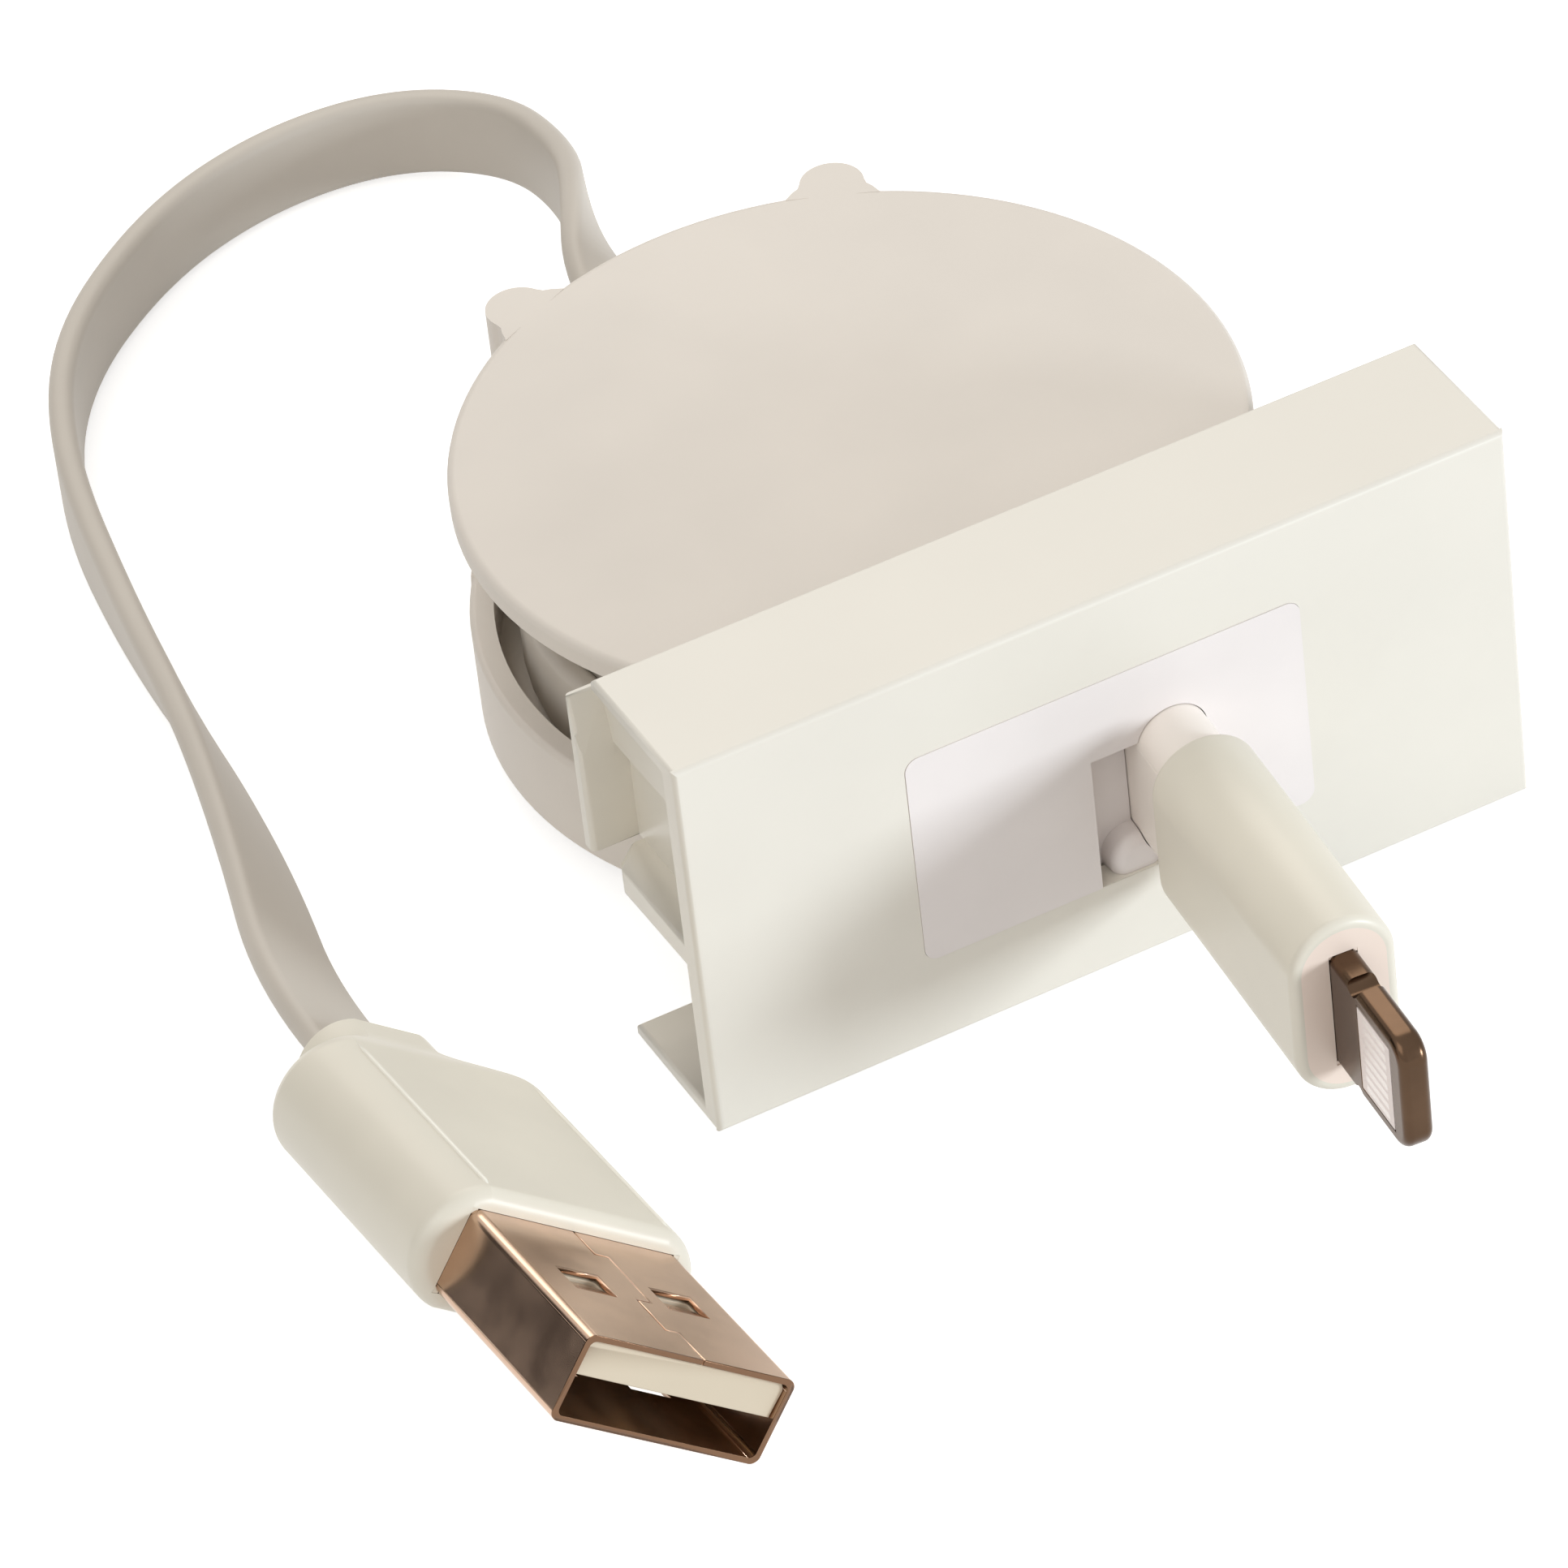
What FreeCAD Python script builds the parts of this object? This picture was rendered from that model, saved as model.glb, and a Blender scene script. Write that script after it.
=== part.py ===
import FreeCAD, Part
import math
import os
import re
import Sketcher

# Panel-mount retractable charging cable: a snap-in face panel, a spring reel behind it,
# a phone plug that pulls out of the front and a fixed flat lead with a usb plug at the back.
# Frame: origin at the middle of the panel's underside, +Z up, the panel faces -Y. Millimetres.

doc = FreeCAD.newDocument("cableReel")
sheet = doc.addObject("Spreadsheet::Sheet", "Sizes")
Vector = FreeCAD.Vector
Rotation = FreeCAD.Rotation
Placement = FreeCAD.Placement

sizes = {
    # face panel
    "panelWidth": 45.0,
    "panelHeight": 22.5,
    "panelDepth": 8.5,
    "panelWall": 1.5,
    "flangeWall": 0.85,
    "panelEdge": 0.35,
    # side snap hooks of the panel
    "clipInset": 1.2,
    "clipWall": 1.6,
    "clipLow": 11.2,
    "clipHigh": 20.7,
    "hookReach": 1.8,
    "hookFront": 9.6,
    "hookLand": 1.0,
    "hookEdge": 0.3,
    "hookBreak": 17.2,
    "hookLean": 0.8,
    "recessDeep": 0.7,
    "recessTop": 17.3,
    "shelfWall": 1.5,
    "shelfDepth": 9.2,
    "shelfSlope": 1.2,
    "shelfCorner": 0.9,
    # front insert and its outlet
    "insertWidth": 21.4,
    "insertHeight": 12.4,
    "insertLow": 5.2,
    "insertCorner": 0.7,
    "seamGap": 0.06,
    "notchLeft": 4.5,
    "notchRight": 1.6,
    "notchHigh": 13.1,
    "tunnelDepth": 5.6,
    "tunnelWall": 1.2,
    "stopWall": 1.0,
    "cheekWall": 1.2,
    "cheekHigh": 12.8,
    "lugRadius": 1.35,
    "lugAside": 2.2,
    "lugLift": 0.5,
    "lugDeep": 0.25,
    "lugEdge": 0.6,
    "screenDeep": 1.65,
    "screenWall": 0.9,
    # reel base and cover
    "reelClear": 6.15,
    "reelRadius": 19.75,
    "reelWall": 1.25,
    "reelLow": 1.6,
    "floorWall": 1.2,
    "ledgeHigh": 1.15,
    "coverLow": 14.3,
    "coverWall": 1.25,
    "coverLip": 0.15,
    "coverBevel": 0.45,
    "skirtWall": 0.8,
    "skirtDeep": 1.2,
    "fitGap": 0.1,
    "rimHigh": 6.9,
    "windowAngle": 130.0,
    "windowCorner": 3.0,
    "earAngle": 25.8,
    "earRadius": 1.65,
    "earReach": 2.45,
    "earFillet": 0.75,
    "postRadius": 2.0,
    "boreGap": 0.05,
    "thrustHigh": 0.3,
    # case screws
    "screwRadius": 0.7,
    "screwGap": 0.05,
    "screwHeadRadius": 1.15,
    "screwHeadHigh": 0.8,
    "screwLength": 10.0,
    "bossRadius": 1.1,
    "bossLength": 3.6,
    "bossRoof": 0.3,
    # spool, spring, ball and windings
    "runGap": 0.35,
    "drumRadius": 8.5,
    "drumWall": 0.9,
    "webLift": 0.15,
    "webWall": 0.7,
    "webInset": 2.6,
    "ballRadius": 0.8,
    "ballGap": 0.12,
    "ballTrack": 6.0,
    "springStrip": 0.3,
    "springPitch": 0.6,
    "springTurns": 6,
    "springHigh": 4.2,
    "rollInset": 0.3,
    "rollGap": 0.1,
    "windingGap": 0.45,
    "windingBuild": 7.0,
    "windingEdge": 0.5,
    # flat ribbons
    "ribbonWidth": 4.2,
    "ribbonThick": 1.3,
    "ribbonGap": 0.3,
    "ribbonGrip": 2.0,
    "leadWidth": 5.0,
    "leadThick": 1.35,
    "leadGap": 0.25,
    "leadStraight": 7.6,
    "leadTail": 1.5,
    "neckRun": 7.0,
    # phone plug
    "plugX": 3.4,
    "plugZ": 9.9,
    "plugYaw": 4.4,
    "sleeveWide": 3.7,
    "sleeveHigh": 8.9,
    "sleeveGap": 0.15,
    "sleeveInside": 4.2,
    "sleeveOutside": 3.3,
    "ribbonLift": 1.5,
    "bootHigh": 10.4,
    "bootWide": 5.5,
    "bootLength": 15.6,
    "bootEdge": 0.45,
    "collarBorder": 0.6,
    "collarDeep": 1.2,
    "collarSunk": 0.06,
    "bladeHigh": 6.7,
    "bladeThick": 1.5,
    "bladeLength": 7.6,
    "bladeRoot": 3.0,
    "bladeCorner": 1.3,
    "bladeEdge": 0.45,
    "detentRadius": 0.55,
    "detentBack": 5.2,
    "plateHigh": 5.0,
    "plateLong": 3.4,
    "plateTip": 1.3,
    "padHigh": 0.36,
    "padPitch": 0.6,
    "padLong": 2.4,
    "padDeep": 0.15,
    "padCount": 8,
    # usb plug
    "usbX": -36.7,
    "usbY": -16.55,
    "usbYaw": 0.4,
    "usbRoll": 38.0,
    "usbPitch": 6.4,
    "shellWide": 12.0,
    "shellHigh": 4.5,
    "shellWall": 0.3,
    "shellLength": 12.0,
    "shellRoot": 4.0,
    "shellCorner": 0.5,
    "latchWide": 2.4,
    "latchLong": 2.1,
    "latchSpread": 2.7,
    "latchFromTip": 6.15,
    "tabWide": 2.25,
    "tabLong": 1.95,
    "tabDrop": 0.5,
    "tabPocket": 0.9,
    "seamLeft": -0.25,
    "seamRight": 0.55,
    "seamNear": 9.5,
    "seamMiddle": 4.35,
    "seamFar": 2.25,
    "seamWide": 0.07,
    "tongueHigh": 1.85,
    "tongueSunk": 0.3,
    "tongueGap": 0.03,
    "contactWide": 1.1,
    "contactSpread": 2.25,
    "contactDeep": 0.25,
    "contactLong": 7.5,
    "usbBootWide": 15.6,
    "usbBootHigh": 6.4,
    "usbBootBulge": 2.6,
    "usbBootLength": 15.0,
    "shoulderLength": 4.0,
    "neckLength": 1.3,
    "neckWide": 7.6,
    "neckHigh": 4.6,
    "usbBootEdge": 0.8,
}

for row, (alias, value) in enumerate(sizes.items(), start=1):
    sheet.set(f"A{row}", alias)
    sheet.set(f"B{row}", str(value))
    sheet.setAlias(f"B{row}", alias)
doc.recompute()

# Places that several pieces share, as formulas on the sheet
front = "(-panelDepth / 2)"
insertInner = f"({front} + panelWall)"
reelSetback = "(reelClear + reelRadius)"
reelY = f"({front} + {reelSetback})"
floorTop = "(reelLow + floorWall)"
reelInner = "(reelRadius - reelWall)"
webRadius = f"({reelInner} - webInset)"
rollRadius = f"({webRadius} - rollInset)"
windingRadius = f"({reelInner} - windingGap)"
coverTop = "(coverLow + coverWall)"
spoolTop = "(coverLow - runGap)"
ledgeTop = f"({floorTop} + ledgeHigh)"
webLow = f"({ledgeTop} + fitGap + leadWidth + webLift)"
webTop = f"({webLow} + webWall)"
spoolLow = "(reelLow + floorWall + thrustHigh + fitGap)"
drumInner = "(drumRadius - drumWall)"
boreRadius = "(postRadius + boreGap)"
ballHigh = "(coverLow - runGap / 2)"
leadHigh = f"({ledgeTop} + fitGap + leadWidth / 2)"
earDistance = "(reelRadius + earReach - earRadius)"
plugFront = "(sleeveOutside + bootLength)"

nodes = []


def size(alias):
    return float(sheet.get(alias))


def tied(formula):
    # put the sheet's name before each word that is one of its aliases
    def cell(word):
        return "Sizes." + word.group() if word.group() in sizes else word.group()
    return re.sub(r"[A-Za-z]+", cell, formula)


def number(formula):
    return float(sheet.evalExpression(tied(formula)))


def bind(item, **formulas):
    for name, formula in formulas.items():
        item.setExpression(name, tied(formula))


def place(item, x="0", y="0", z="0"):
    for axis, formula in (("x", x), ("y", y), ("z", z)):
        item.setExpression(f"Placement.Base.{axis}", tied(formula))
    return item


def block(name, low, high):
    item = doc.addObject("Part::Box", name)
    spans = [f"({top}) - ({bottom})" for bottom, top in zip(low, high)]
    bind(item, Length=spans[0], Width=spans[1], Height=spans[2])
    return place(item, *low)


def upright(name, radius, bottom, top, x="0", y=reelY):
    item = doc.addObject("Part::Cylinder", name)
    bind(item, Radius=radius, Height=f"({top}) - ({bottom})")
    return place(item, x, y, bottom)


def lying(name, radius, near, far, x="0", z="0"):
    # a round bar along Y
    item = doc.addObject("Part::Cylinder", name)
    item.Placement.Rotation = Rotation(Vector(1, 0, 0), -90)
    bind(item, Radius=radius, Height=f"({far}) - ({near})")
    return place(item, x, near, z)


def merged(name, *items):
    item = doc.addObject("Part::MultiFuse", name)
    item.Shapes = list(items)
    item.Refine = True
    return item


def carved(name, base, *tools):
    item = doc.addObject("Part::Cut", name)
    item.Base = base
    item.Tool = tools[0] if len(tools) == 1 else merged(name + "Tools", *tools)
    item.Refine = True
    return item


def mirrored(name, source):
    item = doc.addObject("Part::Mirroring", name)
    item.Source = source
    item.Normal = Vector(1, 0, 0)
    return item


def rounded(name, base, radius, wanted):
    doc.recompute()
    item = doc.addObject("Part::Fillet", name)
    item.Base = base
    item.Edges = [(n, radius, radius) for n, edge in enumerate(base.Shape.Edges, start=1) if wanted(edge)]
    return item


def runsAlong(edge, axis):
    # true for a straight edge along one axis, 0 for X, 1 for Y and 2 for Z
    if edge.Curve.TypeId != "Part::GeomLine":
        return False
    return abs(abs(edge.Curve.Direction[axis]) - 1) < 1e-6


def outline(body, plane, points):
    # a closed outline whose corners are bound to the sheet
    sketch = body.newObject("Sketcher::SketchObject", body.Name + "Outline")
    support = [item for item in body.Origin.OriginFeatures if item.Role == plane][0]
    sketch.AttachmentSupport = [(support, "")]
    sketch.MapMode = "FlatFace"
    numbers = [[number(formula) for formula in point] for point in points]
    count = len(points)
    for n in range(count):
        start = numbers[n]
        end = numbers[(n + 1) % count]
        sketch.addGeometry(Part.LineSegment(Vector(*start, 0), Vector(*end, 0)))
    for n in range(count):
        sketch.addConstraint(Sketcher.Constraint("Coincident", n, 2, (n + 1) % count, 1))
    for n in range(count):
        for kind, distance, formula in zip(("DistanceX", "DistanceY"), numbers[n], points[n]):
            index = sketch.addConstraint(Sketcher.Constraint(kind, -1, 1, n, 1, distance))
            sketch.setExpression(f"Constraints[{index}]", tied(formula))
    return sketch


def prism(name, plane, points, length, midplane=False, reverse=False):
    body = doc.addObject("PartDesign::Body", name)
    sketch = outline(body, plane, points)
    pad = body.newObject("PartDesign::Pad", name + "Pad")
    pad.Profile = sketch
    pad.Midplane = midplane
    pad.Reversed = reverse
    bind(pad, Length=length)
    return body


def turned(name, points, y=reelY):
    # an outline of radius and height, turned about the reel's axis
    body = doc.addObject("PartDesign::Body", name)
    sketch = outline(body, "XZ_Plane", points)
    turn = body.newObject("PartDesign::Revolution", name + "Turn")
    turn.Profile = sketch
    turn.ReferenceAxis = (sketch, ["V_Axis"])
    turn.Angle = 360
    return place(body, y=y)


def keep(item, label):
    item.Label = label
    nodes.append(item)
    return item


def solidNode(label, shape, placement=None):
    item = doc.addObject("Part::Feature", label)
    item.Shape = shape
    if placement is not None:
        item.Placement = placement
    return keep(item, label)


def facePanel():
    # channel section, open at both ends
    section = [
        (front, "0"),
        ("panelDepth / 2", "0"),
        ("panelDepth / 2", "flangeWall"),
        (insertInner, "flangeWall"),
        (insertInner, "panelHeight - flangeWall"),
        ("panelDepth / 2", "panelHeight - flangeWall"),
        ("panelDepth / 2", "panelHeight"),
        (front, "panelHeight"),
    ]
    channel = prism("channel", "YZ_Plane", section, "panelWidth", midplane=True)
    doc.recompute()
    faceY = -size("panelDepth") / 2
    softened = rounded("softChannel", channel, size("panelEdge"),
                       lambda edge: all(abs(v.Y - faceY) < 1e-6 for v in edge.Vertexes))
    window = block("panelWindow",
                   ("-insertWidth / 2 - seamGap", f"{front} - panelWall", "insertLow - seamGap"),
                   ("insertWidth / 2 + seamGap", f"{insertInner} + panelWall", "insertLow + insertHeight + seamGap"))
    windowSoft = rounded("windowSoft", window, size("insertCorner") + size("seamGap"),
                         lambda edge: runsAlong(edge, 1))
    plate = carved("windowedPanel", softened, windowSoft)
    # each end has a springy upright under the top flange, a hook on it and a shelf below
    outer = "(panelWidth / 2 - clipInset)"
    inner = f"({outer} - clipWall)"
    hookY = f"({front} + hookFront)"
    hookBack = f"({hookY} + hookLand)"
    upper = block("clipUpright", (inner, insertInner, "clipLow"), (outer, hookBack, "clipHigh - hookLean"))
    root = block("clipRoot", (inner, insertInner, "recessTop"),
                 (outer, "panelDepth / 2 - flangeWall", "panelHeight - flangeWall / 2"))
    flank = block("clipFlank", (f"{outer} - recessDeep", insertInner, "clipLow"),
                  ("panelWidth", hookY, "recessTop"))
    hook = block("hook", (f"{outer} - recessDeep", hookY, "clipLow"),
                 (f"{outer} + hookReach", hookBack, "clipHigh"))
    hookEnd = size("panelWidth") / 2 - size("clipInset") + size("hookReach")
    hookSoft = rounded("hookSoft", hook, size("hookEdge"),
                       lambda edge: runsAlong(edge, 2) and abs(edge.Vertexes[0].X - hookEnd) < 1e-6)
    # the upper half of the hook's front leans back
    lean = prism("hookFrontLean", "YZ_Plane", [
        (f"{hookY} - hookLean", "hookBreak"),
        (hookY, "hookBreak"),
        (f"{hookY} + hookLean", "clipHigh"),
        (f"{hookY} + hookLean", "clipHigh + hookLean"),
        (f"{hookY} - hookLean", "clipHigh + hookLean"),
    ], "2 * hookReach")
    place(lean, x=outer)
    shelf = prism("shelf", "XY_Plane", [
        (inner, insertInner),
        ("panelWidth / 2", insertInner),
        ("panelWidth / 2", f"{front} + shelfDepth - shelfSlope"),
        (outer, f"{front} + shelfDepth"),
        (inner, f"{front} + shelfDepth"),
    ], "shelfWall")
    place(shelf, z="clipLow - shelfWall")
    shelfEnd = size("shelfDepth") - size("shelfSlope") - size("panelDepth") / 2
    shelfSoft = rounded("shelfSoft", shelf, size("shelfCorner"),
                        lambda edge: runsAlong(edge, 2) and abs(edge.Vertexes[0].Y - shelfEnd) < 1e-6)
    clip = merged("clip", carved("clipThin", upper, flank), root,
                  carved("hookLeaned", hookSoft, lean), shelfSoft)
    keep(merged("facePanelWhole", plate, clip, mirrored("otherClip", clip)), "face_panel")


def frontInsert():
    plateSharp = block("insertPlateSharp",
                       ("-insertWidth / 2", front, "insertLow"),
                       ("insertWidth / 2", insertInner, "insertLow + insertHeight"))
    plate = rounded("insertPlate", plateSharp, size("insertCorner"), lambda edge: runsAlong(edge, 1))
    tunnelBack = f"({front} + tunnelDepth)"
    cheekEnd = f"({reelY} - reelRadius / 2)"
    tunnelOuter = "(plugX + notchLeft + tunnelWall)"
    ribbonZ = "(plugZ + ribbonLift)"
    tunnel = block("tunnel",
                   ("plugX - notchLeft - tunnelWall", insertInner, "insertLow"),
                   (tunnelOuter, tunnelBack, "plugZ + sleeveHigh / 2 + sleeveGap + tunnelWall / 2"))
    # two cheeks reach back and straddle the low front rim of the reel
    leftCheek = block("leftCheek",
                      (f"-{tunnelOuter}", insertInner, "insertLow"),
                      (f"-{tunnelOuter} + cheekWall", cheekEnd, "cheekHigh"))
    rightCheek = block("rightCheek",
                       (f"{tunnelOuter} - cheekWall", insertInner, "insertLow"),
                       (tunnelOuter, cheekEnd, "cheekHigh"))
    whole = merged("insertWhole", plate, tunnel, leftCheek, rightCheek)
    # left of the sleeve a notch opens onto a screen that closes the view into the tunnel
    screen = block("screen",
                   ("plugX - notchLeft - tunnelWall / 2", f"{front} + screenDeep", "insertLow"),
                   ("plugX + notchRight + tunnelWall / 2", f"{front} + screenDeep + screenWall",
                    "notchHigh + tunnelWall / 2"))
    notch = block("notch",
                  ("plugX - notchLeft", f"{front} - panelWall", "insertLow - insertHeight"),
                  ("plugX + notchRight", f"{tunnelBack} - stopWall", "notchHigh"))
    # the sleeve's way out of the tunnel is turned with the plug
    arch = pill("arch", "sleeveWide + 2 * sleeveGap", "sleeveHigh + 2 * sleeveGap",
                "-panelWall", "tunnelDepth - stopWall")
    arch.Placement = plugPlace()
    slotX = "(plugX + tunnelDepth * tan(plugYaw))"
    ribbonSlot = block("ribbonSlot",
                       (f"{slotX} - ribbonThick / 2 - ribbonGap", tunnelBack + " - 2 * stopWall",
                        f"{ribbonZ} - ribbonWidth / 2 - ribbonGap"),
                       (f"{slotX} + ribbonThick / 2 + ribbonGap", tunnelBack + " + stopWall",
                        f"{ribbonZ} + ribbonWidth / 2 + ribbonGap"))
    rimRing = carved("rimRing",
                     upright("rimOuter", "reelRadius + fitGap", "reelLow", "rimHigh + fitGap"),
                     upright("rimInner", f"{reelInner} - fitGap", "0", "coverLow"))
    chamber = upright("chamber", f"{windingRadius} + runGap", "reelLow", "coverLow")
    opened = carved("insertOpen", whole, notch, arch, ribbonSlot, rimRing, chamber)
    # a round lug stands on the screen beside the sleeve, on the floor of the notch
    lugX = "(plugX - lugAside)"
    lugBar = lying("lugBar", "lugRadius", f"{front} + lugDeep", f"{front} + screenDeep + screenWall / 2",
                   lugX, "insertLow + lugLift")
    lugFront = size("lugDeep") - size("panelDepth") / 2
    lugSoft = rounded("lugSoft", lugBar, size("lugEdge"),
                      lambda edge: edge.BoundBox.YLength < 1e-6 and abs(edge.Vertexes[0].Y - lugFront) < 1e-6)
    lugFloor = block("lugFloor",
                     (f"{lugX} - 2 * lugRadius", f"{front} - panelWall", "insertLow - 2 * lugRadius"),
                     (f"{lugX} + 2 * lugRadius", insertInner, "insertLow"))
    keep(merged("insertDone", opened, carved("screenOpen", screen, arch),
                carved("lugCut", lugSoft, lugFloor, arch)),
         "front_insert")


def earSpots():
    # the two rear ears, left and right of the lead's exit
    for side in (-1, 1):
        yield side, f"({side} * {earDistance} * sin(earAngle))", f"({reelY} + {earDistance} * cos(earAngle))"


def reelBase():
    cup = turned("cup", [
        ("0", "reelLow"),
        ("reelRadius", "reelLow"),
        ("reelRadius", "coverLow"),
        (reelInner, "coverLow"),
        (reelInner, ledgeTop),
        (f"{windingRadius} - windingBuild", ledgeTop),
        (f"{windingRadius} - windingBuild", floorTop),
        ("drumRadius", floorTop),
        ("drumRadius", f"{floorTop} + thrustHigh"),
        (drumInner, f"{floorTop} + thrustHigh"),
        (drumInner, floorTop),
        ("postRadius", floorTop),
        ("postRadius", "coverLow - fitGap"),
        ("0", "coverLow - fitGap"),
    ])
    columns = []
    holes = []
    for side, x, y in earSpots():
        columns.append(upright(f"column{side + 1}", "earRadius", "reelLow", "coverLow", x, y))
        holes.append(upright(f"screwHole{side + 1}", "screwRadius + screwGap", "0", "coverLow", x, y))
        holes.append(upright(f"headSink{side + 1}", "screwHeadRadius + screwGap", "0",
                             "reelLow + screwHeadHigh + screwGap", x, y))
        holes.append(upright(f"bossSocket{side + 1}", "bossRadius + fitGap", "coverLow - bossLength - fitGap",
                             "coverLow + fitGap", x, y))
    # the front of the wall is cut down to a rim, with round lower corners
    coreRadius = f"({reelInner} - reelWall)"
    lowAngle = size("windowAngle") - math.degrees(size("windowCorner") / size("reelRadius"))
    window = []
    for name, low, angle in (("windowLow", "rimHigh", lowAngle),
                             ("windowHigh", "rimHigh + windowCorner", size("windowAngle"))):
        wedge = upright(name, "reelRadius * 2", low, "coverLow + coverWall")
        wedge.Angle = 2 * angle
        wedge.Placement.Rotation = Rotation(Vector(0, 0, 1), -90 - angle)
        window.append(carved(name + "Ring", wedge, upright(name + "Core", coreRadius, "0", "coverLow * 2")))
    for side in (-1, 1):
        corner = lying(f"windowCorner{side + 1}", "windowCorner", "0", "2 * reelWall + coverLip")
        turn = Rotation(Vector(0, 0, 1), 180 + side * lowAngle)
        corner.Placement.Rotation = turn.multiply(corner.Placement.Rotation)
        window.append(place(corner, f"{side} * {coreRadius} * sin({lowAngle})",
                            f"{reelY} - {coreRadius} * cos({lowAngle})", "rimHigh + windowCorner"))
    # the lead leaves flat through the back of the wall
    exitSlot = block("exitSlot",
                     ("-leadWidth / 2 - leadGap", f"{reelY} + {coreRadius}",
                      f"{leadHigh} - leadThick / 2 - leadGap"),
                     ("leadWidth / 2 + leadGap", f"{reelY} + reelRadius + reelWall",
                      f"{leadHigh} + leadThick / 2 + leadGap"))
    keep(carved("baseDone", merged("baseWhole", cup, *columns), *window, exitSlot, *holes), "reel_base")


def reelCover():
    disc = turned("coverDisc", [
        ("0", "coverLow"),
        ("reelRadius + coverLip", "coverLow"),
        ("reelRadius + coverLip", f"{coverTop} - coverBevel"),
        ("reelRadius + coverLip - coverBevel * (1 - cos(30))", f"{coverTop} - coverBevel * (1 - sin(30))"),
        ("reelRadius + coverLip - coverBevel * (1 - cos(60))", f"{coverTop} - coverBevel * (1 - sin(60))"),
        ("reelRadius + coverLip - coverBevel", coverTop),
        ("0", coverTop),
    ])
    skirtOuter = f"({reelInner} - fitGap)"
    skirt = carved("skirt",
                   upright("skirtOuter", skirtOuter, "coverLow - skirtDeep", "coverLow + coverBevel"),
                   upright("skirtInner", f"{skirtOuter} - skirtWall", "0", "coverLow + coverBevel"),
                   block("skirtFront", ("-reelRadius", front, "0"),
                         ("reelRadius", f"{reelY} - reelRadius * cos(windowAngle) + reelWall", "coverLow")))
    ears = []
    pilots = []
    for side, x, y in earSpots():
        ears.append(upright(f"earTip{side + 1}", "earRadius", "coverLow", coverTop, x, y))
        # hollow flanks lead from the disc into the ear
        edgeAt = "(reelRadius + coverLip - coverBevel)"
        flank = [("earRadius + earFillet", edgeAt)]
        for angle in (30, 60, 90):
            flank.append((f"earRadius + earFillet * (1 - sin({angle}))",
                          f"{edgeAt} + coverBevel + earFillet * (1 - cos({angle}))"))
        flank.append(("earRadius", earDistance))
        otherFlank = [(f"-({across})", along) for across, along in reversed(flank)]
        root = prism(f"earRoot{side + 1}", "XY_Plane", flank + otherFlank, "coverWall")
        root.Placement.Rotation = Rotation(Vector(0, 0, 1), -side * size("earAngle"))
        ears.append(place(root, y=reelY, z="coverLow"))
        ears.append(upright(f"earBoss{side + 1}", "bossRadius",
                            "coverLow - bossLength", "coverLow + bossRoof", x, y))
        pilots.append(upright(f"pilot{side + 1}", "screwRadius + screwGap", "coverLow - bossLength - fitGap",
                              "coverLow - bossRoof", x, y))
    ballSlot = block("ballSlot",
                     ("ballTrack - 2 * ballRadius", f"{reelY} - ballRadius - ballGap", "coverLow - fitGap"),
                     ("ballTrack + 2 * ballRadius", f"{reelY} + ballRadius + ballGap",
                      f"{ballHigh} + ballRadius + ballGap"))
    keep(carved("coverDone", merged("coverWhole", disc, skirt, *ears), ballSlot, *pilots), "reel_cover")


def caseScrews():
    screws = []
    for side, x, y in earSpots():
        head = upright(f"screwHead{side + 1}", "screwHeadRadius", "reelLow", "reelLow + screwHeadHigh", x, y)
        shank = upright(f"screwShank{side + 1}", "screwRadius", "reelLow + screwHeadHigh / 2",
                        "reelLow + screwLength", x, y)
        screws.append(merged(f"screw{side + 1}", head, shank))
    pair = doc.addObject("Part::Compound", "screwPair")
    pair.Links = screws
    keep(pair, "case_screws")


def spool():
    trackHalf = "(ballRadius + ballGap)"
    trackLow = f"({ballHigh} - ballRadius - ballGap)"
    body = turned("spoolBody", [
        (boreRadius, webLow),
        (drumInner, webLow),
        (drumInner, spoolLow),
        ("drumRadius", spoolLow),
        ("drumRadius", webLow),
        (webRadius, webLow),
        (webRadius, webTop),
        ("drumRadius", webTop),
        ("drumRadius", spoolTop),
        (f"ballTrack + {trackHalf}", spoolTop),
        (f"ballTrack + {trackHalf}", trackLow),
        (f"ballTrack - {trackHalf}", trackLow),
        (f"ballTrack - {trackHalf}", spoolTop),
        (boreRadius, spoolTop),
    ])
    keep(body, "spool")


def powerSpring():
    # half-circle arcs about two centres, a half pitch wider at each half turn
    strip = size("springStrip")
    half = size("springPitch") / 2
    middle = Vector(0, number(reelY), 0)
    low = size("reelLow") + size("floorWall") + size("thrustHigh") + size("runGap")
    startRadius = size("postRadius") + size("boreGap")
    sides = {"inner": [], "outer": []}
    for turn in range(int(2 * size("springTurns"))):
        side = 1 if turn % 2 == 0 else -1
        centre = middle + Vector(half if side < 0 else 0, 0, 0)
        for name, extra in (("inner", 0), ("outer", strip)):
            radius = startRadius + turn * half + extra
            first = centre + Vector(side * radius, 0, 0)
            top = centre + Vector(0, side * radius, 0)
            last = centre - Vector(side * radius, 0, 0)
            sides[name].append(Part.Arc(first, top, last).toShape())
    innerWire = Part.Wire(sides["inner"])
    outerWire = Part.Wire(sides["outer"])
    starts = [sides[name][0].Vertexes[0].Point for name in ("inner", "outer")]
    ends = [sides[name][-1].Vertexes[-1].Point for name in ("inner", "outer")]
    caps = [Part.makeLine(*starts), Part.makeLine(*ends)]
    face = Part.Face(Part.Wire(Part.__sortEdges__(innerWire.Edges + outerWire.Edges + caps)))
    solid = face.extrude(Vector(0, 0, size("springHigh")))
    solid.translate(Vector(0, 0, low))
    solidNode("power_spring", solid)


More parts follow.
